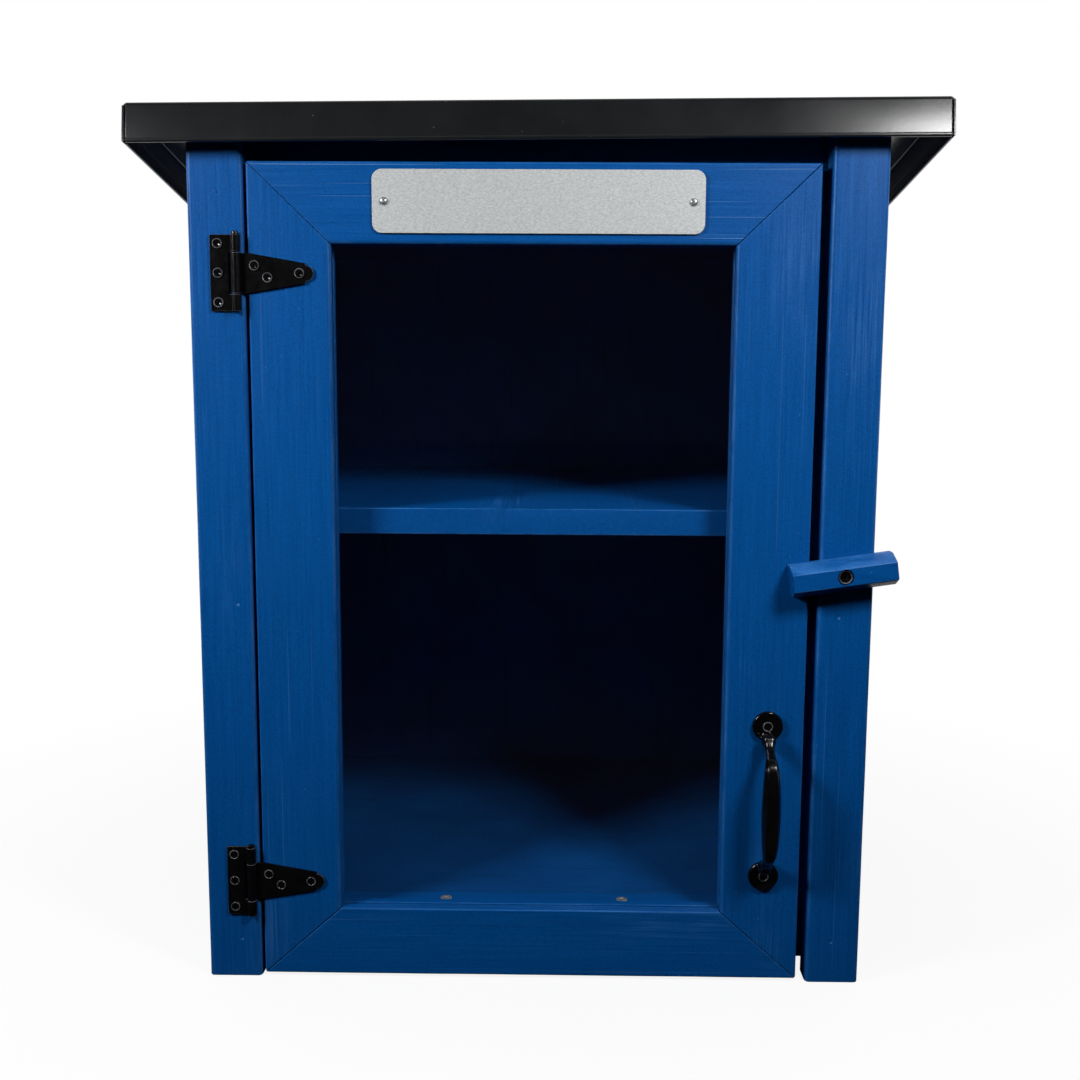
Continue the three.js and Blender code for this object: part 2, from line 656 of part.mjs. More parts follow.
function gripGeometry() {
  const half = pull.centres / 2;
  const station = ([along, out, radius]) => (
    new THREE.Vector3(along * half, out * (pull.reach - seam) + seam, radius * pull.grip));
  const upper = armShares.map(station);
  const lower = upper.map(({ x, y, z }) => new THREE.Vector3(-x, y, z)).reverse();
  const route = new THREE.CatmullRomCurve3([...upper, station([0, 1, 1]), ...lower]);
  const vertices = [];
  const index = [];
  const sides = smallSides;
  for (let step = 0; step <= pullSteps; step += 1) {
    const at = route.getPoint(step / pullSteps);
    const ahead = route.getTangent(step / pullSteps);
    const normal = new THREE.Vector2(ahead.y, -ahead.x).normalize();
    for (let side = 0; side < sides; side += 1) {
      const turn = 2 * Math.PI * side / sides;
      const off = at.z * Math.sin(turn);
      vertices.push(at.z * Math.cos(turn), -(at.y + off * normal.y), at.x + off * normal.x);
    }
  }
  for (let step = 0; step < pullSteps; step += 1) {
    for (let side = 0; side < sides; side += 1) {
      const a = step * sides + side;
      const b = step * sides + (side + 1) % sides;
      index.push(a, b, a + sides, b, b + sides, a + sides);
    }
  }
  const last = pullSteps * sides;
  for (let side = 1; side < sides - 1; side += 1) {
    index.push(0, side + 1, side, last, last + side, last + side + 1);
  }
  const geometry = new THREE.BufferGeometry();
  geometry.setAttribute("position", new THREE.BufferAttribute(Float32Array.from(vertices), 3));
  geometry.setIndex(index);
  return geometry;
}

function pullFoot(rise) {
  const { foot, footThick } = pull;
  const { width, drop, dish } = footRim;
  const bottom = footThick - dish;
  return turned([
    [0, 0], [foot, 0], [foot, footThick - drop], [foot - width / 2, footThick],
    [foot - width, footThick - drop / 2], [foot - 2 * width, bottom], [0, bottom],
  ], largeSides).rotateX(Math.PI).translate(0, -seam, rise);
}

function pullHandle() {
  const ends = Object.keys(pullRises);
  const whole = join([gripGeometry(), pullFoot(pullRises.lower), pullFoot(pullRises.upper)]);
  whole.translate(pullPlace.x, 0, pullPlace.z);
  return [
    piece("pull_handle", drilled(whole, pullScrew, ends.map(pullScrewPlace)), "blackGloss"),
    ...ends.map((end) => screwPiece(`pull_screw_${end}`, pullScrew, pullScrewPlace(end), "blackGloss")),
  ];
}

// Turn button: a chamfered stick on one screw. Its left end lies over the door's latch stile.
function turnButton() {
  const half = button.height / 2;
  const face = button.face / 2;
  const back = -seam;
  const front = back - button.thick;
  const shoulder = back - button.shoulder;
  const section = outline([
    [back, -half], [back, half], [shoulder, half], [front, face, button.easing], [front, -face, button.easing],
    [shoulder, -half],
  ]);
  const stick = alongX(section, -button.length / 2, button.length);
  const bore = buttonScrew.shank + clearance;
  const seat = front + counterbore.depth;
  const hole = turned([
    [0, -overrun], [bore, -overrun], [bore, -seat], [counterbore.radius, -seat],
    [counterbore.radius, overrun - front], [0, overrun - front],
  ], largeSides).rotateX(Math.PI);
  const mesh = piece("turn_button", cut(stick, [hole]), "paint");
  mesh.rotation.y = -buttonTilt;
  mesh.position.set(buttonX, 0, buttonPlace.height);
  return [mesh, screwPiece("turn_button_screw", buttonScrew, buttonScrewPlace, "blackSteel")];
}

const cabinet = new THREE.Group();
cabinet.add(...cornerBoards(), ...sideTrims(), ...sidePanels(), backBoard(), ...floorAndSill(), headerRail());
cabinet.add(...doorStops(), shelfBoard(), ...shelfCleats(), roofDeck(), roofPan(), ...roofScrews());

const doorLeaf = new THREE.Group();
doorLeaf.add(...doorFrame(), windowPane(), ...signPlate(), ...pullHandle());

const hardware = new THREE.Group();
hardware.add(...hingeNames.flatMap(teeHinge), ...turnButton());

// The origin is below the middle of the whole box, on the plane that its feet stand on.
const model = new THREE.Group();
model.add(cabinet, doorLeaf, hardware);
const extent = new THREE.Box3().setFromObject(model, true);
model.position.y = -(extent.min.y + extent.max.y) / 2;

export default model;
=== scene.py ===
import math

import bmesh
import bpy
from mathutils import Matrix, Vector


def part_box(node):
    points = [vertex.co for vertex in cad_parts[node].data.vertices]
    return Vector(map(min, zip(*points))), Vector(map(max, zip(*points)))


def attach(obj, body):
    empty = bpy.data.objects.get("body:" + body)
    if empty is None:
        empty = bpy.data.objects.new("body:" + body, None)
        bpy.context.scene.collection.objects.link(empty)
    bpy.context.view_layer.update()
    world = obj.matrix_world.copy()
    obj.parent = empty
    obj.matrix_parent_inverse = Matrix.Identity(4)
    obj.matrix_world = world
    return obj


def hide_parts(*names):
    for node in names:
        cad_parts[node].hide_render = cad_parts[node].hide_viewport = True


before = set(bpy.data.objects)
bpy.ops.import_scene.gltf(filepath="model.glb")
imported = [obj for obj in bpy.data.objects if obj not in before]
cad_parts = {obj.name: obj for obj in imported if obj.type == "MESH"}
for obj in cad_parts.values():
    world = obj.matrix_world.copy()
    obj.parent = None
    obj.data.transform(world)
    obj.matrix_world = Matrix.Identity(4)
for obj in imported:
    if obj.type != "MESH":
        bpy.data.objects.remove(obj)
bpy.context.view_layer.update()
MM = 0.001


# The camera of the photograph: held just right of the box's middle, at the height of the upper
# shelf, and tilted down. Its place and lens were found by fitting the box's straight edges.
camera_place = Vector((14.7, -1052.5, 435.8)) * MM
camera_lens = 43.44
camera_turn = math.radians(0.75)
camera_tilt = math.radians(8.02)
camera_roll = math.radians(0.32)

bpy.ops.object.camera_add()
camera = bpy.context.object
camera.data.lens = camera_lens
camera.matrix_world = (
    Matrix.Translation(camera_place)
    @ Matrix.Rotation(camera_turn, 4, "Z")
    @ Matrix.Rotation(math.radians(90) - camera_tilt, 4, "X")
    @ Matrix.Rotation(camera_roll, 4, "Z")
)
bpy.context.scene.camera = camera
bpy.context.scene.view_settings.view_transform = "Standard"


# The studio: a room that is dim behind the photographer and white behind the box, two soft lamps
# close to its front corners, and a pale floor. Metal and glass mirror the white as the eye sees it.
room_front, room_back = 0.014, 0.85
floor_white = 0.88
floor_near, floor_far = 0.2, 0.8
lamp_spread = math.radians(120)
lamps = {
    "lamp_right": {
        "place": (0.46, -0.72, 0.84), "size": 0.2, "power": 2.5, "aim": (0.05, -0.18, 0.36),
    },
    "lamp_left": {
        "place": (-0.74, -0.70, 0.78), "size": 0.24, "power": 3.7, "aim": (-0.05, -0.18, 0.36),
    },
}


def linear(hex_colour):
    """An sRGB hex colour as the linear red, green, blue and alpha that a socket takes."""
    channels = [int(hex_colour[i : i + 2], 16) / 255 for i in (1, 3, 5)]
    return [c / 12.92 if c <= 0.04045 else ((c + 0.055) / 1.055) ** 2.4 for c in channels] + [1.0]


def add_node(tree, kind, inputs=None, **settings):
    """Adds a node with its own settings. An input is a value, or the output that feeds it."""
    made = tree.nodes.new(kind)
    for name, value in settings.items():
        setattr(made, name, value)
    for name, value in (inputs or {}).items():
        if isinstance(value, bpy.types.NodeSocket):
            tree.links.new(value, made.inputs[name])
        else:
            made.inputs[name].default_value = value
    return made


def empty_tree(owner):
    owner.use_nodes = True
    owner.node_tree.nodes.clear()
    return owner.node_tree


def spread(tree, value, taken, given=(0, 1), smooth=False):
    """Maps a range of the value onto another one, and clamps what lies outside."""
    kind = "SMOOTHSTEP" if smooth else "LINEAR"
    ends = {"From Min": taken[0], "From Max": taken[1], "To Min": given[0], "To Max": given[1]}
    return add_node(
        tree, "ShaderNodeMapRange", {"Value": value, **ends}, interpolation_type=kind
    ).outputs["Result"]


def reckon(tree, operation, *values, **settings):
    """A sum of values, or of what other nodes give."""
    values = dict(enumerate(values))
    return add_node(tree, "ShaderNodeMath", values, operation=operation, **settings).outputs[0]


def part_of(tree, vector, axis):
    return add_node(tree, "ShaderNodeSeparateXYZ", {"Vector": vector}).outputs[axis]


def over(tree, share, first, second):
    """Lays a share of the second shader over the first."""
    return add_node(tree, "ShaderNodeMixShader", {0: share, 1: first, 2: second}).outputs[0]


def rays_that_see(tree, behind):
    """1 for camera rays, also past the pane, and for mirrored ones as far as they look behind."""
    ray = add_node(tree, "ShaderNodeLightPath").outputs
    turns = reckon(tree, "ADD", ray["Diffuse Depth"], ray["Glossy Depth"])
    straight = reckon(tree, "LESS_THAN", turns, 0.5)
    passed = reckon(tree, "MULTIPLY", ray["Is Transmission Ray"], straight)
    mirrored = reckon(tree, "MULTIPLY", ray["Is Glossy Ray"], behind)
    either = reckon(tree, "MAXIMUM", passed, mirrored)
    return reckon(tree, "MAXIMUM", ray["Is Camera Ray"], either)


def new_finish(name):
    """A material, its empty tree, and the object's own coordinates in it."""
    material = bpy.data.materials.new(name)
    tree = empty_tree(material)
    return material, tree, add_node(tree, "ShaderNodeTexCoord").outputs["Object"]


world = bpy.data.worlds.new("studio_room")
bpy.context.scene.world = world
tree = empty_tree(world)
around = add_node(tree, "ShaderNodeTexCoord").outputs["Generated"]
behind = spread(tree, part_of(tree, around, "Y"), (-0.25, 0.6), smooth=True)
room = spread(tree, behind, (0, 1), (room_front, room_back))
strength = spread(tree, rays_that_see(tree, behind), (0, 1), (room, 1.0))
light = add_node(
    tree, "ShaderNodeBackground", {"Color": linear("#FFFFFF"), "Strength": strength}
)
add_node(tree, "ShaderNodeOutputWorld", {"Surface": light.outputs[0]})

for name, lamp in lamps.items():
    bpy.ops.object.light_add(type="AREA", location=lamp["place"])
    light = bpy.context.object
    light.name = name
    light.data.size = lamp["size"]
    light.data.energy = lamp["power"]
    light.data.spread = lamp_spread
    towards = Vector(lamp["aim"]) - Vector(lamp["place"])
    light.rotation_euler = towards.to_track_quat("-Z", "Y").to_euler()
    light.visible_camera = False

# The floor is white away from the box and shades near it, so that the box's shadow shows.
floor_finish, tree, place = new_finish("pale_studio_floor")
reach = add_node(tree, "ShaderNodeVectorMath", {0: place}, operation="LENGTH").outputs["Value"]
whiteness = spread(tree, reach, (floor_near, floor_far), (floor_white, 1), smooth=True)
behind = spread(tree, part_of(tree, place, "Y"), (0, 0.5))
white = add_node(tree, "ShaderNodeEmission", {"Color": linear("#FFFFFF"), "Strength": 1.0})
pale = add_node(tree, "ShaderNodeBsdfDiffuse", {"Color": linear("#F4F4F2")})
underfoot = add_node(tree, "ShaderNodeBsdfDiffuse", {"Color": linear("#242424")})
looked_at = over(tree, whiteness, pale.outputs[0], white.outputs[0])
seen = over(tree, rays_that_see(tree, behind), underfoot.outputs[0], looked_at)
add_node(tree, "ShaderNodeOutputMaterial", {"Surface": seen})

bpy.ops.object.select_all(action="DESELECT")
bpy.ops.mesh.primitive_circle_add(vertices=96, radius=6, fill_type="NGON")
floor = bpy.context.object
floor.name = "studio_floor"
floor.data.materials.append(floor_finish)


# Corner boards: two 37 by 19 mm pine boards that stand on the ground at the front corners and
# carry the whole box. They are planed, eased on the front edges, nailed through the face and
# brushed with a satin blue exterior paint, and cut off at the top to the fall of the roof.
roof_fall, roof_lean = math.radians(8.8), math.radians(0.6)
roof_square = Vector((-math.tan(roof_lean), math.tan(roof_fall), 1)).normalized()
board_easing = 3 * MM
end_easing = 0.7 * MM
board_steps, end_steps = 4, 3
parallel, nearly_parallel = 0.99, 0.97  # the least cosine between an edge and its axis
plane_mark_length = 9 * MM
plane_mark_depth = 0.28 * MM
plane_mark_size = 0.045
plane_mark_level = 0.65
nail_radius, nail_depth = 2.4 * MM, 0.6 * MM
nail_ring, nail_groove = 1.9 * MM, 0.35 * MM
nails_left = [(-209.5, 541.0), (-202.0, 268.0), (-205.0, 28.0)]
nails_right = [(208.0, 541.0), (206.0, 262.0), (209.0, 30.0)]


def noise(tree, place, scale, detail, roughness=0.5, distortion=0.0):
    """Soft noise, with as many patches to the metre as the scale says."""
    look = {"Scale": scale, "Detail": detail, "Roughness": roughness, "Distortion": distortion}
    return add_node(tree, "ShaderNodeTexNoise", {"Vector": place, **look}).outputs["Fac"]


def two_tones(tree, value, dark, pale):
    """A run between two tones, each given as the value that it starts at and its hex colour."""
    ramp = add_node(tree, "ShaderNodeValToRGB", {"Fac": value})
    for stop, (at, tone) in zip(ramp.color_ramp.elements, (dark, pale)):
        stop.position, stop.color = at, linear(tone)
    return ramp.outputs[0]


def specks(tree, place, scale, edge, most):
    """Scattered specks: the edge is how far from their middles they begin and are full."""
    dots = add_node(tree, "ShaderNodeTexVoronoi", {"Vector": place, "Scale": scale})
    return spread(tree, dots.outputs["Distance"], edge, (0, most))


def drawn_out(tree, place, along, share):
    """The coordinates with one axis shortened, so that a pattern runs along it."""
    scale = [1.0, 1.0, 1.0]
    scale[along] = share
    return add_node(tree, "ShaderNodeMapping", {"Vector": place, "Scale": scale}).outputs[0]


def tint(tree, share, below, above, kind="MIX"):
    """Lays a share of the second colour over the first."""
    return add_node(
        tree, "ShaderNodeMixRGB", {0: share, 1: below, 2: above}, blend_type=kind
    ).outputs[0]


def marked(tree, attribute):
    return add_node(tree, "ShaderNodeAttribute", attribute_name=attribute).outputs["Fac"]


def bumps(tree, height, strength, depth, **more):
    look = {"Height": height, "Strength": strength, "Distance": depth, **more}
    return add_node(tree, "ShaderNodeBump", look).outputs[0]


def shade_with(tree, look):
    shader = add_node(tree, "ShaderNodeBsdfPrincipled", look)
    add_node(tree, "ShaderNodeOutputMaterial", {"Surface": shader.outputs[0]})


def brushed_paint(name, along, turn=0.0, scratched=0.05):
    """Satin exterior acrylic, brushed along the board (0, 1 or 2 for X, Y or Z) in two coats.

    Bristle marks 1.5 mm apart and a hand long show in the sheen, the pine's grain swells through,
    thin places dry chalky, handling leaves long hair scratches and small flecks, and the arrises,
    which the wear_and_highlight attribute marks, are painted a paler blue, partly as paint rubbed
    through and partly as painted highlight along the eased edges. Where the shaded_band attribute
    is set, the colour is painted near-black as painted shade.
    """
    material, tree, own = new_finish(name)
    turned_by = {"Vector": own, "Rotation": (0, turn, 0)}
    place = add_node(tree, "ShaderNodeMapping", turned_by).outputs[0]
    bristles = noise(tree, drawn_out(tree, place, along, 0.02), 680, 3, 0.55)
    grain = noise(tree, drawn_out(tree, place, along, 0.05), 150, 3, 0.5, distortion=0.4)
    thin = noise(tree, drawn_out(tree, place, along, 0.35), 14, 6, 0.62)
    hairs = noise(tree, drawn_out(tree, place, along, 0.006), 620, 1, 0.4)
    wear_and_highlight_patches = noise(tree, drawn_out(tree, place, along, 0.3), 90, 4, 0.7)
    mottle = noise(tree, place, 1000, 1)

    chalky_streaks = spread(tree, bristles, (0.4, 0.68), (0, 0.3))
    chalk_here = spread(tree, thin, (0.53, 0.72), smooth=True)
    chalk = reckon(tree, "MULTIPLY", chalky_streaks, chalk_here)
    flecks = specks(tree, place, 62, (0.04, 0.015), 0.35)
    scratches = spread(tree, hairs, (0.69, 0.74), (0, scratched))
    patchy = spread(tree, wear_and_highlight_patches, (0.38, 0.64), (0.1, 0.6))
    # paler arrises: partly rubbed-through paint, partly painted highlight
    wear_and_highlight_share = reckon(tree, "MULTIPLY", marked(tree, "wear_and_highlight"), patchy, use_clamp=True)
    # painted shade: near-black on the marked inner band of the door frame
    shaded_band = spread(tree, marked(tree, "shaded_band"), (0.3, 0.45))

    colour = two_tones(tree, bristles, (0.3, "#004484"), (0.7, "#004C91"))
    grained = spread(tree, grain, (0.3, 0.7), (0.965, 1.03))
    stippled = spread(tree, mottle, (0.3, 0.7), (0.84, 1.16))
    for pattern in (grained, stippled):
        colour = tint(tree, 1.0, colour, pattern, "MULTIPLY")
    for share, tone in (
        (chalk, "#3D74B4"), (flecks, "#4F8AC8"), (scratches, "#8DB6E2"), (wear_and_highlight_share, "#3F7CC0"),
        (shaded_band, "#03060C"),
    ):
        colour = tint(tree, share, colour, linear(tone))
    sheen = spread(tree, bristles, (0.3, 0.7), (0.32, 0.42))
    ridges = reckon(tree, "MULTIPLY_ADD", grain, 1.6, bristles)
    shade_with(tree, {
        "Base Color": colour, "Roughness": reckon(tree, "ADD", sheen, chalk),
        "Specular IOR Level": 0.16, "Normal": bumps(tree, ridges, 0.3, 0.1 * MM),
    })
    return material


paint_across = brushed_paint("blue_paint_brushed_across", 0)
paint_scuffed = brushed_paint("blue_paint_brushed_across_and_scuffed", 0, scratched=0.3)
paint_deep = brushed_paint("blue_paint_brushed_front_to_back", 1)
paint_upright = brushed_paint("blue_paint_brushed_upright", 2)


def into_object_mode():
    """Leaves edit mode and deselects everything."""
    if bpy.context.object and bpy.context.object.mode == "EDIT":
        bpy.ops.object.mode_set(mode="OBJECT")
    bpy.ops.object.select_all(action="DESELECT")


def take_up(piece):
    """Selects the piece alone, in object mode."""
    into_object_mode()
    piece.select_set(True)
    bpy.context.view_layer.objects.active = piece


def sawn_block(name, low, high):
    """A block of stock between two corners, open in edit mode."""
    into_object_mode()
    bpy.ops.mesh.primitive_cube_add(size=1, location=(low + high) / 2, scale=high - low)
    block = bpy.context.object
    block.name = name
    bpy.ops.object.transform_apply(location=True, rotation=True, scale=True)
    bpy.ops.object.mode_set(mode="EDIT")
    return block


def pick(kind, wanted):
    """Selects the VERTs, EDGEs or FACEs whose middle and direction or normal pass the test."""
    bpy.ops.mesh.select_mode(type=kind)
    bpy.ops.mesh.select_all(action="DESELECT")
    shape = bmesh.from_edit_mesh(bpy.context.object.data)
    shape.normal_update()
    if kind == "VERT":
        found = [(vertex, vertex.co, vertex.normal) for vertex in shape.verts]
    elif kind == "EDGE":
        ends = [(edge, edge.verts[0].co, edge.verts[1].co) for edge in shape.edges]
        found = [(edge, (a + b) / 2, (b - a).normalized()) for edge, a, b in ends]
    else:
        found = [(face, face.calc_center_median(), face.normal) for face in shape.faces]
    for part, middle, way in found:
        if wanted(middle, way):
            part.select_set(True)
    bmesh.update_edit_mesh(bpy.context.object.data)


def saw(point, outwards):
    """Cuts the piece through a point and takes off what lies outwards of the cut."""
    bpy.ops.mesh.select_all(action="SELECT")
    bpy.ops.mesh.bisect(plane_co=point, plane_no=outwards, clear_outer=True, use_fill=True)


def ease(width, steps):
    """Rounds the selected edges over."""
    bpy.ops.mesh.bevel(
        offset=width, offset_type="OFFSET", segments=steps, profile=0.5, affect="EDGES"
    )


def apply_modifier(piece, kind, **settings):
    take_up(piece)
    bpy.ops.object.modifier_add(type=kind)
    for name, value in settings.items():
        setattr(piece.modifiers[-1], name, value)
    bpy.ops.object.modifier_apply(modifier=piece.modifiers[-1].name)


def carve(piece, cutter, operation="DIFFERENCE"):
    """Cuts a shape out of the piece, or joins it on, and removes the shape."""
    apply_modifier(piece, "BOOLEAN", operation=operation, object=cutter, solver="EXACT")
    bpy.data.objects.remove(cutter)


plane_marks = bpy.data.textures.new("plane_marks", type="CLOUDS")
plane_marks.noise_scale = plane_mark_size


def roughen(piece, level):
    """Makes the surface a little uneven. The level is the share of the height that stays as is."""
    apply_modifier(
        piece, "DISPLACE", texture=plane_marks, texture_coords="LOCAL",
        strength=plane_mark_depth, mid_level=level,
    )


def plane_by_hand(piece, along):
    """Divides the board along its length, marks its arrises for paler paint, partly wear and partly
    painted highlight, and roughens it.
    """
    pick("EDGE", lambda middle, way: abs(way[along]) > nearly_parallel)
    shape = bmesh.from_edit_mesh(piece.data)
    longest = max(edge.calc_length() for edge in shape.edges if edge.select)
    bpy.ops.mesh.subdivide(number_cuts=int(longest / plane_mark_length))
    shape = bmesh.from_edit_mesh(piece.data)
    shape.normal_update()
    wear_and_highlight = shape.verts.layers.float.new("wear_and_highlight")
    for vertex in shape.verts:
        off_flat = 1 - max(abs(part) for part in vertex.normal)
        vertex[wear_and_highlight] = min(1.0, off_flat / (1 - math.sqrt(0.5)))
    bmesh.update_edit_mesh(piece.data)
    roughen(piece, plane_mark_level)


def finish_piece(piece, body, slot, finish, *nodes):
    """Smooths, paints and hands the piece to its body, in place of the nodes."""
    take_up(piece)
    bpy.ops.object.shade_smooth_by_angle(angle=math.radians(32))
    apply_modifier(piece, "WEIGHTED_NORMAL", keep_sharp=True)
    piece.data.materials.clear()
    piece.data.materials.append(finish)
    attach(piece, body)
    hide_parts(*nodes)


def corner_board(node, nails):
    low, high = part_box(node)
    board = sawn_block(f"{node}_planed", low, high)
    saw(Vector((high.x, low.y, high.z)), roof_square)
    front = low.y + board_easing / 2
    pick("EDGE", lambda middle, way: abs(way.z) > parallel and middle.y < front)
    ease(board_easing, board_steps)
    pick("EDGE", lambda middle, way: abs(way.z) < 0.5 and middle.y < low.y + board_easing)
    ease(end_easing, end_steps)
    plane_by_hand(board, 2)
    for number, (x, z) in enumerate(nails):
        if number == 0:
            bpy.ops.mesh.primitive_torus_add(
                major_segments=24, minor_segments=8, major_radius=nail_ring,
                minor_radius=nail_groove, location=(x * MM, low.y, z * MM),
                rotation=(math.radians(90), 0, 0),
            )
        else:
            bpy.ops.mesh.primitive_uv_sphere_add(
                segments=16, ring_count=8, radius=nail_radius,
                location=(x * MM, low.y - nail_radius + nail_depth, z * MM),
            )
        carve(board, bpy.context.object)
    finish_piece(board, "cabinet", "blue_paint", paint_upright, node)


corner_board("corner_board_left", nails_left)
corner_board("corner_board_right", nails_right)


# Side trims: narrow boards on both edges of each side, which hide the side panels' raw edges.
# They are pine like the corner boards, glued and nailed on, and painted with the same blue.
trim_easing = 2 * MM


def planed_board(node, body, along, easing, eased, finish):
    """A board of the node's size: the chosen long arrises eased, the others just broken."""
    low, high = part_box(node)
    board = sawn_block(f"{node}_planed", low, high)
    if along == 2:
        saw(Vector((high.x, low.y, high.z)), roof_square)
    pick("EDGE", lambda middle, way: abs(way[along]) > parallel and eased(middle, low, high))
    ease(easing, board_steps)
    break_sharp_edges(end_easing)
    plane_by_hand(board, along)
    finish_piece(board, body, "blue_paint", finish, node)


def break_sharp_edges(width, steps=3, sharpness=math.radians(50)):
    """Takes the sharpness off every edge that is still square."""
    bpy.ops.mesh.select_mode(type="EDGE")
    bpy.ops.mesh.select_all(action="DESELECT")
    bpy.ops.mesh.edges_select_sharp(sharpness=sharpness)
    ease(width, steps)


def outer_side(middle, low, high):
    return abs(middle.x) > (abs(low.x) + abs(high.x)) / 2


for side in ("left", "right"):
    planed_board(
        f"side_trim_front_{side}", "cabinet", 2, trim_easing,
        lambda middle, low, high: outer_side(middle, low, high) and middle.y > (low.y + high.y) / 2,
        paint_upright,
    )
    planed_board(f"side_trim_rear_{side}", "cabinet", 2, trim_easing, outer_side, paint_upright)


# Panels: the sides, the back, the floor and the deck under the roof are birch plywood, rolled with
# the same blue paint. They stand or lie between the boards and are glued and screwed to them.
def rolled_paint(name, grain_along):
    """The satin blue laid on with a foam roller: a fine stipple 1.5 mm across, more matt and a
    little darker than brushed, over the raised grain and small checks of the veneer."""
    material, tree, place = new_finish(name)
    stipple = noise(tree, place, 640, 2)
    veneer = noise(tree, drawn_out(tree, place, grain_along, 0.06), 170, 5, 0.6, distortion=0.8)
    passes = noise(tree, place, 16, 3)
    tones = two_tones(tree, passes, (0.3, "#003A74"), (0.7, "#004684"))
    checks = spread(tree, veneer, (0.3, 0.42), (0.7, 1))
    ridges = reckon(tree, "MULTIPLY_ADD", veneer, 1.5, stipple)
    shade_with(tree, {
        "Base Color": tint(tree, 1.0, tones, checks, "MULTIPLY"),
        "Roughness": spread(tree, stipple, (0.3, 0.7), (0.46, 0.6)),
        "Specular IOR Level": 0.2, "Normal": bumps(tree, ridges, 0.5, 0.1 * MM),
    })
    return material


def dress(finish, *nodes):
    """Gives CAD nodes that keep their shape a finish of their own."""
    for node in nodes:
        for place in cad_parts[node].material_slots:
            place.material = finish


ply_upright = rolled_paint("blue_paint_rolled_on_upright_plywood", 2)
ply_flat = rolled_paint("blue_paint_rolled_on_flat_plywood", 0)
dress(ply_upright, "side_panel_left", "side_panel_right", "back_panel")
dress(ply_flat, "floor_panel", "roof_deck")


# Rails, stops and cleats: pine strips inside the cabinet that stiffen its front and that the door
# and the shelf lie against. They are screwed on, the sill from above, and brushed blue.
dress(paint_across, "header_rail", "floor_sill")
dress(paint_upright, "door_stop_left", "door_stop_right")
dress(paint_deep, "shelf_cleat_left", "shelf_cleat_right")


# Shelf: two pine boards joined edge to edge across the depth, notched round the door stops and
# laid loose on the cleats. The joint shows as a shallow line whose edges, like the front arris,
# are painted paler, partly as rubbed paint and partly as painted highlight.
shelf_easing = 1.2 * MM
shelf_joint = {"x": -21.0 * MM, "gap": 0.5 * MM, "deep": 0.25 * MM}
stop_clearance = 0.3 * MM
touching = 0.1 * MM
wear_and_highlight_bend = math.radians(20)


def open_up(piece):
    """Opens the piece in edit mode."""
    take_up(piece)
    bpy.ops.object.mode_set(mode="EDIT")


def mark_worn_and_lit_edges(piece, sharpness, widest):
    """Marks the vertices of narrow faces on edges sharper than this for paler paint, partly wear
    and partly painted highlight, and no others.
    """
    shape = bmesh.from_edit_mesh(piece.data)
    wear_and_highlight = shape.verts.layers.float.get("wear_and_highlight") or shape.verts.layers.float.new("wear_and_highlight")
    for vertex in shape.verts:
        bend = max(edge.calc_face_angle(0) for edge in vertex.link_edges)
        narrow = max(face.calc_area() for face in vertex.link_faces) < widest
        vertex[wear_and_highlight] = 1.0 if bend > sharpness and narrow else 0.0
    bmesh.update_edit_mesh(piece.data)


low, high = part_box("shelf")
shelf = sawn_block("shelf_board", low, high)
into_object_mode()
stop_left, stop_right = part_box("door_stop_left"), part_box("door_stop_right")
notch_back = stop_left[1].y + stop_clearance
for inner, outer in (
    (stop_left[1].x + stop_clearance, low.x - MM),
    (stop_right[0].x - stop_clearance, high.x + MM),
):
    near, far = min(inner, outer), max(inner, outer)
    notch = sawn_block(
        "notch", Vector((near, low.y - MM, low.z - MM)), Vector((far, notch_back, high.z + MM))
    )
    into_object_mode()
    carve(shelf, notch)
half_gap = shelf_joint["gap"] / 2
for face_low, face_high in (
    (Vector((0, low.y - MM, low.z - MM)), Vector((0, low.y + shelf_joint["deep"], high.z + MM))),
    (Vector((0, low.y - MM, high.z - shelf_joint["deep"])), Vector((0, high.y + MM, high.z + MM))),
):
    face_low.x, face_high.x = shelf_joint["x"] - half_gap, shelf_joint["x"] + half_gap
    groove = sawn_block("open_joint", face_low, face_high)
    into_object_mode()
    carve(shelf, groove)
open_up(shelf)
pick("EDGE", lambda middle, way: abs(way.x) > parallel and middle.y < low.y + touching
     and min(abs(middle.z - high.z), abs(middle.z - low.z)) < touching)
ease(shelf_easing, end_steps)
mark_worn_and_lit_edges(shelf, wear_and_highlight_bend, widest=400 * MM**2)
finish_piece(shelf, "cabinet", "blue_paint", paint_deep, "shelf")


# Roof: a pan folded from 1.2 mm steel sheet with a baked charcoal coating. Its flanges are hemmed
# and hang over the walls, their folds are round, and the top is dulled by the weather. It is
# screwed down through the deck. The flanges' slight dish and twist are in the shading alone.
flange_low, flange_high = 572 * MM, 598 * MM
tilt_low, tilt_high = math.tan(math.radians(1)), math.tan(math.radians(5.5))
flange_twist = math.tan(math.radians(1.5))
fold_round = 0.9 * MM
coated_sheet, tree, place = new_finish("baked_charcoal_coating_on_steel")
peel = noise(tree, place, 420, 1, distortion=0.4)
waves = noise(tree, place, 9, 1)
handled = noise(tree, place, 22, 6, 0.65)
dust = specks(tree, place, 95, (0.05, 0.02), 0.4)
tones = two_tones(tree, handled, (0.35, "#141517"), (0.7, "#1A1B1D"))
folds = add_node(tree, "ShaderNodeBevel", {"Radius": fold_round}, samples=6).outputs[0]
flat = add_node(tree, "ShaderNodeNewGeometry").outputs["True Normal"]
upward = part_of(tree, flat, "Z")
weathered = spread(tree, upward, (0.5, 0.9), (0, 0.35))
roughness = reckon(tree, "ADD", spread(tree, handled, (0.3, 0.7), (0.2, 0.235)), weathered)
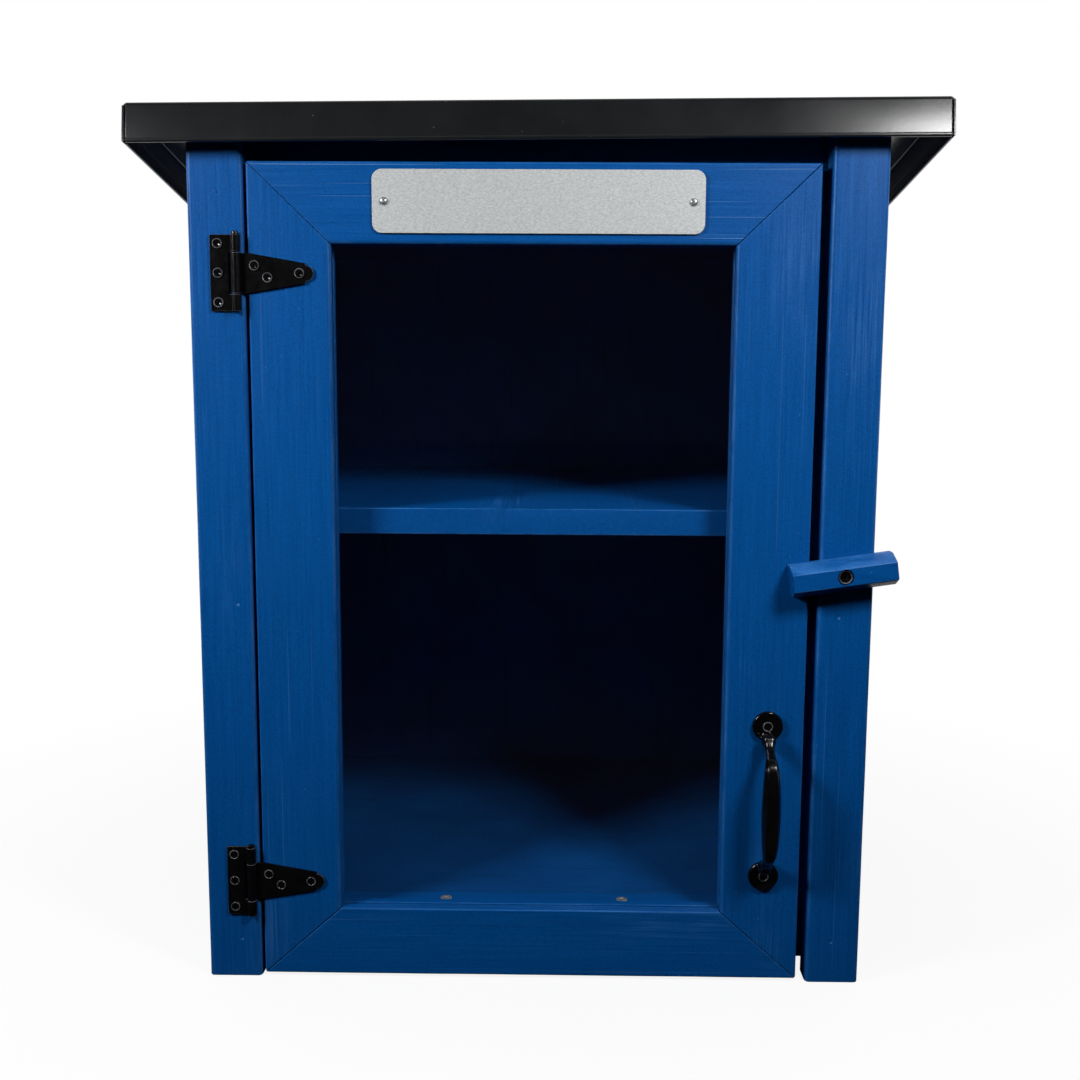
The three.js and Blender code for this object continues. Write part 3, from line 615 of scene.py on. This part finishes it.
straight = add_node(
    tree, "ShaderNodeVectorMath", {0: folds, 1: flat}, operation="DOT_PRODUCT"
).outputs["Value"]
burnished = spread(tree, straight, (0.995, 0.9), (0.5, 1.0))
dulled = spread(tree, upward, (0.5, 0.9), (1.0, 0.25))
height = part_of(tree, place, "Z")
dish = spread(tree, height, (flange_low, flange_high), (tilt_low, tilt_high))
kick = add_node(tree, "ShaderNodeCombineXYZ", {"X": -flange_twist, "Z": dish}).outputs[0]
leaning = add_node(tree, "ShaderNodeVectorMath", {0: folds, 1: kick}).outputs[0]
tilted = add_node(tree, "ShaderNodeVectorMath", {0: leaning}, operation="NORMALIZE").outputs[0]
orange = bumps(tree, peel, 0.5, 0.035 * MM, Normal=tilted)
shade_with(tree, {
    "Base Color": tint(tree, dust, tones, linear("#76777A")), "Roughness": roughness,
    "Specular IOR Level": reckon(tree, "MULTIPLY", burnished, dulled),
    "Normal": bumps(tree, waves, 0.5, 0.3 * MM, Normal=orange),
})
dress(coated_sheet, "roof_cap")


# Roof screws: black pan-head screws with a cross recess, driven square to the roof through the
# sheet and the deck into the edges of the side panels.
screw_sides = 32
dome_steps = 6
recess_deep = 0.6
recess_half, recess_taper, recess_proud = 0.21, 0.3, 0.1
ringed_crown = [
    (0.995, 0.45), (0.96, 0.8), (0.9, 0.98), (0.84, 1.0), (0.79, 0.9), (0.75, 0.72), (0, 0.68)
]
ring_highlight_above = 0.75
roof_screw = {"head": 5.0, "shank": 2.1, "dome": 2.8, "sink": 0.0, "recess": 2.5, "shown": 6.0}
roof_ridge = {"z": 598.0, "y": -195.82}
roof_screw_y = {"front": -121.82, "rear": 135.18}
roof_screw_turns = {"front_left": 0.3, "front_right": 1.0, "rear_left": 1.35, "rear_right": 0.7}
roof_seam = 0.3


def black_coat(name, smooth, rough):
    """Electro-dipped black on steel: an even film with a slight orange peel and a broken sheen.
    Marked edges and screw rings are painted a dull grey, partly film rubbed thin and partly painted
    highlight."""
    material, tree, place = new_finish(name)
    peel = noise(tree, place, 1500, 3)
    film = noise(tree, place, 130, 5, 0.65)
    tones = two_tones(tree, film, (0.38, "#050506"), (0.75, "#0C0C0D"))
    wear_and_highlight_patches = spread(tree, film, (0.35, 0.65), (0.2, 0.9))
    # marked edges and rings are painted grey: partly worn film, partly painted highlight
    wear_and_highlight_share = reckon(tree, "MULTIPLY", marked(tree, "wear_and_highlight"), wear_and_highlight_patches)
    shade_with(tree, {
        "Base Color": tint(tree, wear_and_highlight_share, tones, linear("#6C6D72")),
        "Roughness": spread(tree, film, (0.3, 0.7), (smooth, rough)),
        "Specular IOR Level": 0.35, "Normal": bumps(tree, peel, 0.3, 0.02 * MM),
    })
    return material


black_steel = black_coat("black_dipped_steel", 0.17, 0.24)


def draw(by):
    """Extrudes what is selected."""
    bpy.ops.mesh.extrude_region_move(TRANSFORM_OT_translate={"value": by})


def turned(name, profile, sides=screw_sides):
    """Turns a line of (radius, height) points, in millimetres, about Z into a closed solid."""
    into_object_mode()
    bpy.ops.mesh.primitive_plane_add(size=MM)
    lathe_work = bpy.context.object
    lathe_work.name = name
    bpy.ops.object.mode_set(mode="EDIT")
    bpy.ops.mesh.select_mode(type="VERT")
    bpy.ops.mesh.select_all(action="SELECT")
    bpy.ops.mesh.merge(type="CENTER")
    points = [Vector((radius, 0, height)) * MM for radius, height in profile]
    bpy.ops.transform.translate(value=points[0])
    for here, there in zip(points, points[1:]):
        draw(there - here)
    bpy.ops.mesh.select_all(action="SELECT")
    bpy.ops.mesh.spin(steps=sides, angle=2 * math.pi, center=(0, 0, 0), axis=(0, 0, 1))
    bpy.ops.mesh.select_all(action="SELECT")
    bpy.ops.mesh.remove_doubles(threshold=0.005 * MM)
    bpy.ops.mesh.normals_make_consistent(inside=False)
    take_up(lathe_work)
    return lathe_work


def screw_model(name, screw):
    """A screw with a cross-recessed head, domed or pressed flat inside a raised ring, whose crest
    is marked to be painted as a highlight ring. The rim of its head lies at the origin."""
    head, dome, shank, shown = screw["head"], screw["dome"], screw["shank"], screw["shown"]
    if screw.get("ringed"):
        crown = [(head * reach, dome * rise) for reach, rise in ringed_crown]
    else:
        turns = [math.pi / 2 * step / dome_steps for step in range(1, dome_steps)]
        crown = [(head * math.cos(turn), dome * math.sin(turn)) for turn in turns]
        crown.append((0, dome))
    shaft = [(0, -shown), (shank, -shown), (shank, -screw["sink"]), (head, 0)]
    model = turned(name, shaft + crown)
    reach, half = screw["recess"], screw["recess"] * recess_half
    for size in (Vector((reach, half, 0)), Vector((half, reach, 0))):
        low = Vector((-size.x, -size.y, crown[-1][1] - recess_deep)) * MM
        high = Vector((size.x, size.y, dome + recess_proud)) * MM
        blade = sawn_block("driver_blade", low, high)
        pick("VERT", lambda middle, way: middle.z < dome * MM)
        bpy.ops.transform.resize(value=(recess_taper, recess_taper, 1))
        into_object_mode()
        carve(model, blade)
    # the ring's crest is marked to be painted grey as a painted highlight
    if screw.get("ringed"):
        open_up(model)
        shape = bmesh.from_edit_mesh(model.data)
        wear_and_highlight = shape.verts.layers.float.new("wear_and_highlight")
        for vertex in shape.verts:
            vertex[wear_and_highlight] = 1.0 if vertex.co.z > ring_highlight_above * dome * MM else 0.0
        bmesh.update_edit_mesh(model.data)
        into_object_mode()
    return model


def set_in(model, name, place):
    """A copy of a model with its own mesh, laid in its place."""
    take_up(model)
    bpy.ops.object.duplicate()
    copy = bpy.context.object
    copy.name = name
    copy.matrix_world = place
    bpy.ops.object.transform_apply(location=True, rotation=True, scale=True)
    return copy


def front_screw(model, screw, node, body, slot, finish, turn):
    """Sets a screw of the model where the node's screw looks to the front."""
    low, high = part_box(node)
    middle = (low + high) / 2
    rim = Vector((middle.x, low.y + screw["dome"] * MM, middle.z))
    facing = Matrix.Rotation(math.radians(90), 4, "X") @ Matrix.Rotation(turn, 4, "Z")
    screwed_in = set_in(model, f"{node}_crossed", Matrix.Translation(rim) @ facing)
    finish_piece(screwed_in, body, slot, finish, node)


model = screw_model("roof_screw", roof_screw)
for where, turn in roof_screw_turns.items():
    node = f"roof_screw_{where}"
    low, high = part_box(node)
    y = roof_screw_y[where.split("_")[0]]
    x = (low.x + high.x) / 2
    fallen = (y - roof_ridge["y"]) * math.tan(roof_fall)
    z = roof_ridge["z"] - fallen + roof_seam / math.cos(roof_fall)
    place = (
        Matrix.Translation(Vector((x, y * MM, z * MM + x * math.tan(roof_lean))))
        @ Matrix.Rotation(-roof_fall, 4, "X") @ Matrix.Rotation(turn, 4, "Z")
    )
    screw = set_in(model, f"{node}_crossed", place)
    finish_piece(screw, "cabinet", "black_steel", black_steel, node)
bpy.data.objects.remove(model)


# Sill screws: countersunk zinc-plated wood screws, sunk level with the top of the sill.
zinc, tree, place = new_finish("zinc_plated_steel")
bloom = noise(tree, place, 420, 4)
shade_with(tree, {
    "Base Color": two_tones(tree, bloom, (0.35, "#8F9296"), (0.65, "#C4C6C9")),
    "Roughness": spread(tree, bloom, (0.3, 0.7), (0.24, 0.42)), "Metallic": 0.7,
})
sill_screw = {"head": 4.2, "shank": 2.0, "dome": 0.5, "sink": 2.2, "recess": 2.1, "shown": 8.0}
sill_screw_turns = {"sill_screw_left": 0.5, "sill_screw_right": 1.2}
model = screw_model("sill_screw", sill_screw)
for node, turn in sill_screw_turns.items():
    low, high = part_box(node)
    middle = (low + high) / 2
    place = Matrix.Translation(Vector((middle.x, middle.y, high.z - sill_screw["dome"] * MM)))
    screw = set_in(model, f"{node}_crossed", place @ Matrix.Rotation(turn, 4, "Z"))
    finish_piece(screw, "cabinet", "bright_screw", zinc, node)
bpy.data.objects.remove(model)


# Door frame: four pine members, mitred at the corners, grooved for the pane and glued. The inner
# arris is rounded more than the outer, least on the bottom rail. The mitres have opened to a hair,
# and the band of the inner faces round the pane groove, on the upper half, is painted near-black
# as painted shade.
pane_groove = {"front": 8.75, "back": 12.25, "deep": 6.0}
outer_easing, inner_easing, rail_easing = 1.5 * MM, 3 * MM, 1.2 * MM
mitre_easing = 0.8 * MM
stile_width, top_width, bottom_width = 54.6 * MM, 52.7 * MM, 48.7 * MM
mitre_seam = 0.15 * MM
inner_steps, outer_steps = 5, 3
shade_front, shade_back = 1, 0.1  # how far the painted shade reaches past the groove, in millimetres


def score(point, across):
    """Draws a line round the piece in the plane through a point, and takes nothing off."""
    bpy.ops.mesh.select_all(action="SELECT")
    bpy.ops.mesh.bisect(plane_co=point, plane_no=across)


def door_member(node, along, inwards, mitres, finish, easing=inner_easing):
    """One member: its block is grooved, eased and then sawn to its two mitres."""
    low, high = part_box(node)
    member = sawn_block(f"{node}_mitred", low, high)
    heart = (low + high) / 2
    for inner, width, steps in ((True, easing, inner_steps), (False, outer_easing, outer_steps)):
        pick("EDGE", lambda middle, way: abs(way[along]) > parallel
             and middle.y < low.y + touching and ((middle - heart).dot(inwards) > 0) == inner)
        ease(width, steps)
    for depth in (pane_groove["front"], pane_groove["back"]):
        score(Vector((0, low.y + depth * MM, 0)), Vector((0, 1, 0)))
    groove_middle = low.y + (pane_groove["front"] + pane_groove["back"]) / 2 * MM
    pick("FACE", lambda middle, way: way.dot(inwards) > 0.9 and abs(middle.y - groove_middle) < MM)
    draw(inwards * -pane_groove["deep"] * MM)
    for point, outwards in mitres:
        saw(point, outwards)
    break_sharp_edges(mitre_easing)
    # painted shade: the groove band on the upper half of the inner faces is marked to be painted
    # near-black
    shape = bmesh.from_edit_mesh(member.data)
    shaded_band = shape.verts.layers.float.new("shaded_band")
    half_way = (door_low.z + door_high.z) / 2
    for vertex in shape.verts:
        depth = (vertex.co.y - low.y) / MM
        in_band = pane_groove["front"] - shade_front < depth < pane_groove["back"] + shade_back
        vertex[shaded_band] = 1.0 if in_band and vertex.co.z > half_way else 0.0
    bmesh.update_edit_mesh(member.data)
    plane_by_hand(member, along)
    finish_piece(member, "door", "blue_paint", finish, node)


left, right = Vector((-1, 0, 0)), Vector((1, 0, 0))
down, up = Vector((0, 0, -1)), Vector((0, 0, 1))
stile_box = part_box("door_stile_hinge")
latch_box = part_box("door_stile_latch")
door_low = Vector((stile_box[0].x, stile_box[0].y, stile_box[0].z - mitre_seam))
door_high = Vector((latch_box[1].x, latch_box[1].y, stile_box[1].z + mitre_seam))
corners = {}
for side, x, way in (("left", door_low.x, 1), ("right", door_high.x, -1)):
    for end, z, rail, up_or_down in (
        ("bottom", door_low.z, bottom_width, -1), ("top", door_high.z, top_width, 1),
    ):
        outwards = Vector((way * rail, 0, up_or_down * stile_width))
        corners[f"{end}_{side}"] = (Vector((x, 0, z)), outwards)


def mitre(corner, of_stile):
    """The cut at a corner, a seam's width inside the member, and the way it looks outwards."""
    point, outwards = corners[corner]
    outwards = outwards.normalized() if of_stile else -outwards.normalized()
    return point - outwards * mitre_seam, outwards


def mitres(*ends, of_stile):
    return [mitre(corner, of_stile) for corner in ends]


door_member(
    "door_stile_hinge", 2, right, mitres("bottom_left", "top_left", of_stile=True), paint_upright
)
door_member(
    "door_stile_latch", 2, left, mitres("bottom_right", "top_right", of_stile=True), paint_upright
)
door_member(
    "door_rail_top", 0, down, mitres("top_left", "top_right", of_stile=False), paint_scuffed
)
door_member(
    "door_rail_bottom", 0, up, mitres("bottom_left", "bottom_right", of_stile=False),
    paint_across, rail_easing,
)


# Window pane: 3 mm clear acrylic, slid into the frame's grooves. It is polished and colourless,
# shows the room faintly, and carries a little dust. Shadows and bounced light pass through it.
acrylic, tree, place = new_finish("clear_acrylic_sheet")
motes = specks(tree, place, 120, (0.035, 0.015), 0.25)
wiped = noise(tree, place, 30, 4, distortion=1.5)
clear = add_node(tree, "ShaderNodeBsdfPrincipled", {
    "Base Color": linear("#F6F9F9"), "Roughness": spread(tree, wiped, (0.4, 0.8), (0.015, 0.05)),
    "Transmission Weight": 1.0, "IOR": 1.49,
})
dusty = add_node(tree, "ShaderNodeBsdfDiffuse", {"Color": linear("#9AA6B4")})
open_air = add_node(tree, "ShaderNodeBsdfTransparent")
ray = add_node(tree, "ShaderNodeLightPath").outputs
lets_through = reckon(tree, "MAXIMUM", ray["Is Shadow Ray"], ray["Is Diffuse Ray"])
sheet = over(tree, motes, clear.outputs[0], dusty.outputs[0])
glazed = over(tree, lets_through, sheet, open_air.outputs[0])
add_node(tree, "ShaderNodeOutputMaterial", {"Surface": glazed})
dress(acrylic, "window_pane")


# Sign plate: 1.5 mm aluminium with round corners, sanded to a fine grain along its length and
# clear anodised. It is bare, and two small pan-head screws hold it to the top rail.
plate_corner, plate_arris = 6.5 * MM, 0.3 * MM
plate_hole, plate_drill = 1.5 * MM, 10 * MM
plate_screw = {"head": 2.6, "shank": 1.2, "dome": 1.5, "sink": 0.0, "recess": 1.4, "shown": 3.0}
satin_aluminium, tree, place = new_finish("satin_anodised_aluminium")
sanding = noise(tree, drawn_out(tree, place, 0, 0.5), 1100, 2, 0.6)
cloud = noise(tree, place, 40, 3)
shade_with(tree, {
    "Base Color": two_tones(tree, sanding, (0.3, "#A4A7A8"), (0.7, "#C1C4C4")),
    "Roughness": spread(tree, cloud, (0.3, 0.7), (0.58, 0.66)),
    "Metallic": 0.3, "Normal": bumps(tree, sanding, 0.2, 0.01 * MM),
})

low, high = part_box("sign_plate")
sheet = sawn_block("sign_plate_blank", low, high)
pick("EDGE", lambda middle, way: abs(way.y) > parallel)
ease(plate_corner, steps=10)
break_sharp_edges(plate_arris, steps=2)
for node in ("sign_screw_left", "sign_screw_right"):
    a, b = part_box(node)
    into_object_mode()
    bpy.ops.mesh.primitive_cylinder_add(
        vertices=24, radius=plate_hole, depth=plate_drill, rotation=(math.radians(90), 0, 0),
        location=((a.x + b.x) / 2, low.y, (a.z + b.z) / 2),
    )
    carve(sheet, bpy.context.object)
finish_piece(sheet, "door", "plate_metal", satin_aluminium, "sign_plate")

model = screw_model("sign_screw", plate_screw)
for node, turn in (("sign_screw_left", 0.25), ("sign_screw_right", 1.1)):
    front_screw(model, plate_screw, node, "door", "bright_screw", zinc, turn)
bpy.data.objects.remove(model)


# Tee hinges: stamped from 1.6 mm steel and rolled round a headed pin, dipped black. The leaf with
# its two knuckles is screwed to the corner board, the strap with the middle one to the door.
hinge_plate, knuckle_radius, hinge_half = 1.6, 3.2, 24.7
middle_half, knuckle_gap = 13.4, 0.3
leaf_width, leaf_relief, leaf_corner = 17.3, 5.1, 0.8
strap_root, strap_shoulder, strap_step, strap_reach = 8.0, 45.1, 45.5, 50.5
strap_half, shoulder_half, nose_half, nose_round = 13.0, 6.6, 5.0, 0.98
roll_angle, roll_steps = math.radians(296), 30
rolled_arris = 0.3 * MM
hinge_screw = {
    "head": 3.4, "shank": 1.5, "dome": 0.9, "sink": 1.4, "recess": 2.5, "ringed": True,
    "shown": 6.0,
}
mouth_slack, throat_slack, drill_deep, drill_clear = 0.25, 0.2, 4, 2
leaf_screws = [(-12.2, -19), (-12.2, 0), (-12.2, 19)]
strap_screws = [(11.8, 4.9), (20.3, -2.8), (41.3, 0)]
pin_seat = hinge_half + 0.3
pin_turns = (0, 0.4, 0.8, 1.2)
pin_radius, pin_head, pin_cap, pin_stub = 1.35, 2.5, 2.1, 1.0
plate_back = -0.3
axis_deep = plate_back - knuckle_radius


def hinge_blank(name, low, high):
    return sawn_block(name, Vector(low) * MM, Vector(high) * MM)


def roll_knuckles(way):
    """Bends the selected plate ends round the pin's axis into knuckles."""
    bpy.ops.mesh.spin(
        steps=roll_steps, angle=way * roll_angle, center=(0, axis_deep * MM, 0), axis=(0, 0, 1)
    )
    bpy.ops.mesh.select_all(action="SELECT")
    bpy.ops.mesh.normals_make_consistent(inside=False)


def work_from_front(piece, tool, at, operation="DIFFERENCE"):
    """Turns a tool to face the front, brings it to its place and carves the piece with it."""
    tool.rotation_euler.x = math.radians(90)
    tool.location = at
    into_object_mode()
    carve(piece, tool, operation)


def countersink(plate, places):
    """Sinks a screw hole at each (x, z) of the plate, from its front."""
    front = (plate_back - hinge_plate) * MM
    mouth, throat = hinge_screw["head"] + mouth_slack, hinge_screw["shank"] + throat_slack
    profile = [
        (0, -drill_deep), (throat, -drill_deep), (throat, -hinge_screw["sink"]), (mouth, 0),
        (mouth, drill_clear), (0, drill_clear),
    ]
    for x, z in places:
        work_from_front(plate, turned("countersink", profile), Vector((x * MM, front, z * MM)))


def wear_and_brighten_edges(piece):
    """Breaks the piece's sharp edges and marks them for grey paint, partly wear and partly painted
    highlight.
    """
    open_up(piece)
    break_sharp_edges(rolled_arris, sharpness=math.radians(40))
    mark_worn_and_lit_edges(piece, wear_and_highlight_bend, widest=2.5 * MM**2)
    into_object_mode()


leaf = hinge_blank(
    "hinge_leaf", (-leaf_width, plate_back - hinge_plate, -hinge_half),
    (-leaf_relief, plate_back, hinge_half),
)
pick("EDGE", lambda middle, way: abs(way.y) > parallel and middle.x < -leaf_relief * MM - MM)
ease(leaf_corner * MM, steps=5)
into_object_mode()
countersink(leaf, leaf_screws)
open_up(leaf)
for z in (-middle_half - knuckle_gap, middle_half + knuckle_gap):
    score(Vector((0, 0, z * MM)), Vector((0, 0, 1)))
pick("FACE", lambda middle, way: middle.x > -leaf_relief * MM - touching
     and abs(middle.z) > middle_half * MM)
draw((leaf_relief * MM, 0, 0))
roll_knuckles(-1)
into_object_mode()
wear_and_brighten_edges(leaf)

tee = hinge_blank(
    "hinge_strap", (0, plate_back - hinge_plate, -strap_half),
    (strap_root, plate_back, strap_half),
)
for reach, taper in (
    (strap_shoulder, shoulder_half / strap_half), (strap_step, nose_half / shoulder_half),
    (strap_reach, 1.0),
):
    reached = max(vertex.co.x for vertex in bmesh.from_edit_mesh(tee.data).verts)
    pick("FACE", lambda middle, way: middle.x > reached - touching)
    draw((reach * MM - reached, 0, 0))
    bpy.ops.transform.resize(value=(1, 1, taper))
pick("EDGE", lambda middle, way: abs(way.y) > parallel and middle.x > strap_reach * MM - touching)
ease(nose_round * nose_half * MM, steps=10)
pick("FACE", lambda middle, way: way.x < -0.9)
roll_knuckles(1)
into_object_mode()
countersink(tee, strap_screws)
wear_and_brighten_edges(tee)

crown = [
    (pin_head * math.cos(t), 0.5 * pin_cap + 0.5 * pin_cap * math.sin(t)) for t in pin_turns
]
stub = [(pin_radius * math.sin(t), -pin_stub * math.cos(t)) for t in pin_turns[1:]]
pin = turned("hinge_pin", [
    (0, -hinge_half - pin_stub), *[(r, -hinge_half + z) for r, z in stub],
    (pin_radius, pin_seat), (pin_head, pin_seat), *[(r, pin_seat + z) for r, z in crown],
    (0, pin_seat + pin_cap),
])
pin.location.y = axis_deep * MM
bpy.ops.object.transform_apply(location=True, rotation=True, scale=True)

hinge_screw_turns = [0.8, 1.2, 0.95, 1.1, 0.7, 1.05, 0.9, 1.25, 1.0, 0.6, 1.15, 0.85]
model = screw_model("hinge_screw", hinge_screw)
turns = iter(hinge_screw_turns)
for end in ("lower", "upper"):
    pin_low, pin_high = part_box(f"hinge_pin_{end}")
    leaf_low, leaf_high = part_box(f"hinge_leaf_{end}")
    across, up_at = (pin_low.x + pin_high.x) / 2, (leaf_low.z + leaf_high.z) / 2
    place = Matrix.Translation(Vector((across, leaf_high.y - plate_back * MM, up_at)))
    for part, shape, body in (
        ("leaf", leaf, "cabinet"), ("strap", tee, "door"), ("pin", pin, "cabinet"),
    ):
        copy = set_in(shape, f"hinge_{part}_{end}_rolled", place)
        finish_piece(copy, body, "black_steel", black_steel, f"hinge_{part}_{end}")
    for part, body in (("leaf", "cabinet"), ("strap", "door")):
        for number in (1, 2, 3):
            node = f"{part}_screw_{end}_{number}"
            front_screw(model, hinge_screw, node, body, "black_steel", black_steel, next(turns))
for used in (leaf, tee, pin, model):
    bpy.data.objects.remove(used)


# Pull handle: cast zinc, coated in gloss black. A grip that swells in the middle runs through a
# collar at each end into a round dished foot, and a screw through each foot holds it to the door.
pull_half, pull_out, pull_grip, pull_base = 53.6, 25.7, 6.4, 0.3
grip_spread, grip_flat = 1.05, 1.45
foot_profile = [
    (0, 0), (10.5, 0), (10.5, 2.1), (10.1, 2.75), (9.3, 3.2), (8.5, 3.0), (7.6, 2.5), (6.4, 2.3),
    (0, 2.3),
]
arm_shares = [
    (0.851, 0.05, 0.56), (0.845, 0.17, 0.66), (0.833, 0.29, 0.82), (0.795, 0.4, 0.6),
    (0.752, 0.505, 0.48), (0.715, 0.605, 0.48), (0.665, 0.73, 0.57), (0.62, 0.83, 0.66),
    (0.56, 0.92, 0.75), (0.48, 0.97, 0.83), (0.33, 0.995, 0.92), (0.0, 1.0, 1.0),
]
arm_steps = 4
pull_seat = [(0, -4), (2.0, -4), (2.0, -1.4), (3.9, 0.2), (3.9, 2), (0, 2)]
pull_screw = {
    "head": 3.6, "shank": 1.7, "dome": 0.9, "sink": 1.6, "recess": 2.6, "ringed": True,
    "shown": 6.0,
}
fine_sides, arm_sides = 48, 8
front_half = 0.7
pull_voxel = 0.45 * MM

gloss_black, tree, place = new_finish("gloss_black_enamel_on_zinc")
flow = noise(tree, place, 190, 2)
touched = noise(tree, place, 60, 5, 0.6)
shade_with(tree, {
    "Base Color": two_tones(tree, touched, (0.35, "#050506"), (0.75, "#0A0A0B")),
    "Roughness": spread(tree, touched, (0.35, 0.75), (0.12, 0.22)),
    "Specular IOR Level": 0.28, "Coat Weight": 0.2, "Coat Roughness": 0.08,
    "Normal": bumps(tree, flow, 0.25, 0.08 * MM),
})


def flowing(points, steps):
    """The points with more between them, on a smooth run through all of them."""
    padded = [points[0], *points, points[-1]]
    run = []
    for a, b, c, d in zip(padded, padded[1:], padded[2:], padded[3:]):
        for step in range(steps):
            t = step / steps
            bend = a - 2.5 * b + 2 * c - 0.5 * d
            twist = 1.5 * b - 0.5 * a - 1.5 * c + 0.5 * d
            run.append(b + 0.5 * t * (c - a) + t**2 * bend + t**3 * twist)
    return [*run, points[-1]]


# The arm is an eight-sided ring, broad at the front, extruded from station to station: along the
# handle, out from the door, and its radius.
stations = [Vector((-a, out, r)) for a, out, r in arm_shares]
stations += [Vector((-at.x, at.y, at.z)) for at in reversed(stations[:-1])]
route = [
    (Vector((0, -pull_base - out * pull_out, a * pull_half)) * MM, r * pull_grip * MM)
    for a, out, r in flowing(stations, arm_steps)
]
into_object_mode()
bpy.ops.mesh.primitive_circle_add(
    vertices=arm_sides, radius=route[0][1] * grip_spread, fill_type="NGON",
    location=route[0][0], rotation=(0, 0, math.radians(180 / arm_sides)),
)
arm = bpy.context.object
arm.name = "pull_arm"
bpy.ops.object.transform_apply(location=True, rotation=True, scale=True)
bpy.ops.object.mode_set(mode="EDIT")
pick("VERT", lambda middle, way: middle.y < route[0][0].y - front_half * route[0][1])
bpy.ops.transform.resize(value=(grip_flat, 1, 1), center_override=route[0][0])
bpy.ops.mesh.select_all(action="SELECT")
heading = Vector((0, 0, 1))
ahead = [(route[i + 1][0] - route[i - 1][0]).normalized() for i in range(1, len(route) - 1)]
first, last = (route[1][0] - route[0][0]).normalized(), (route[-1][0] - route[-2][0]).normalized()
ways = [first, *ahead, last]


def tip_ring(turn, at):
    """Turns the selected ring about X through its own middle."""
    bpy.ops.transform.rotate(value=turn, orient_axis="X", center_override=at)


def heading_turn(before, after):
    return math.atan2(after.z, -after.y) - math.atan2(before.z, -before.y)


for number, (at, radius) in enumerate(route):
    if number > 0:
        before, radius_before = route[number - 1]
        draw(at - before)
        bpy.ops.transform.resize(value=[radius / radius_before] * 3, center_override=at)
    tip_ring(heading_turn(heading, ways[number]), at)
    heading = ways[number]
bpy.ops.mesh.select_all(action="SELECT")
bpy.ops.mesh.normals_make_consistent(inside=False)
into_object_mode()

for side in (-1, 1):
    foot = turned("pull_foot", foot_profile, fine_sides)
    work_from_front(arm, foot, Vector((0, -pull_base, side * pull_half)) * MM, "UNION")
apply_modifier(arm, "REMESH", mode="VOXEL", voxel_size=pull_voxel)
apply_modifier(arm, "SMOOTH", factor=0.5, iterations=6)
for side in (-1, 1):
    foot_face = Vector((0, -pull_base - foot_profile[-1][1], side * pull_half)) * MM
    work_from_front(arm, turned("screw_seat", pull_seat), foot_face)
low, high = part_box("pull_handle")
held = Vector(((low.x + high.x) / 2, high.y + pull_base * MM, (low.z + high.z) / 2))
pull = set_in(arm, "pull_handle_cast", Matrix.Translation(held))
bpy.data.objects.remove(arm)
finish_piece(pull, "door", "black_gloss", gloss_black, "pull_handle")

model = screw_model("pull_screw", pull_screw)
for node, turn in (("pull_screw_lower", 0.55), ("pull_screw_upper", 1.25)):
    front_screw(model, pull_screw, node, "door", "black_gloss", black_steel, turn)
bpy.data.objects.remove(model)


# Turn button: a stick of pine with a broad chamfer above and below its face, brushed blue. Its
# narrow edges are painted paler, partly as rubbed paint and partly as painted highlight, and its
# upward chamfer is painted paler as painted sheen. It turns on one black screw, sunk in a bored
# seat, and holds the door.
button_tilt = math.radians(8.2)
button_length, button_height, button_thick = 69.5, 21.8, 19.0
button_shoulder, button_face = 8.0, 12.2
button_seat = {"radius": 5.4, "deep": 4.2, "bore": 2.5, "through": 30, "clear": 2}
button_steps_at, upward_sheen_slope, upward_sheen_share = 4, 0.35, 0.9
button_wear = 0.9 * MM
button_screw = {
    "head": 4.9, "shank": 2.2, "dome": 2.6, "sink": 0.0, "recess": 3.0, "ringed": True,
    "shown": 12.0,
}
paint_button = brushed_paint("blue_paint_brushed_along_the_button", 0, -button_tilt)

low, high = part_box("turn_button")
middle = (low + high) / 2
stock = Vector((button_length, button_thick, button_height)) * MM
button = sawn_block("turn_button_stick", middle - stock / 2, middle + stock / 2)
shoulder = high.y - button_shoulder * MM
score(Vector((0, shoulder, 0)), Vector((0, 1, 0)))
pick("VERT", lambda middle, way: middle.y < low.y + touching)
bpy.ops.transform.resize(value=(1, 1, button_face / button_height), center_override=middle)
break_sharp_edges(button_wear, sharpness=math.radians(30))
pick("EDGE", lambda middle, way: abs(way.x) > nearly_parallel)
bpy.ops.mesh.subdivide(number_cuts=int(button_length / button_steps_at))
mark_worn_and_lit_edges(button, math.radians(8), widest=4 * MM**2)
# painted sheen: faces turned upwards are marked to be painted paler
shape = bmesh.from_edit_mesh(button.data)
wear_and_highlight = shape.verts.layers.float["wear_and_highlight"]
for vertex in shape.verts:
    if min(face.normal.z for face in vertex.link_faces) > upward_sheen_slope:
        vertex[wear_and_highlight] = upward_sheen_share
bmesh.update_edit_mesh(button.data)
roughen(button, level=0.5)
bore, rim = button_seat["bore"], button_seat["radius"]
through, deep, clear_of = button_seat["through"], button_seat["deep"], button_seat["clear"]
seat = turned("screw_seat", [
    (0, -through), (bore, -through), (bore, -deep), (rim, -deep), (rim, clear_of), (0, clear_of),
], fine_sides)
work_from_front(button, seat, Vector((middle.x, low.y, middle.z)))
take_up(button)
about = Matrix.Translation(middle)
button.matrix_world = about @ Matrix.Rotation(-button_tilt, 4, "Y") @ about.inverted()
bpy.ops.object.transform_apply(location=True, rotation=True, scale=True)
finish_piece(button, "turn_button", "blue_paint", paint_button, "turn_button")

model = screw_model("button_screw", button_screw)
front_screw(
    model, button_screw, "turn_button_screw", "cabinet", "black_steel", black_steel, turn=0.4
)
bpy.data.objects.remove(model)
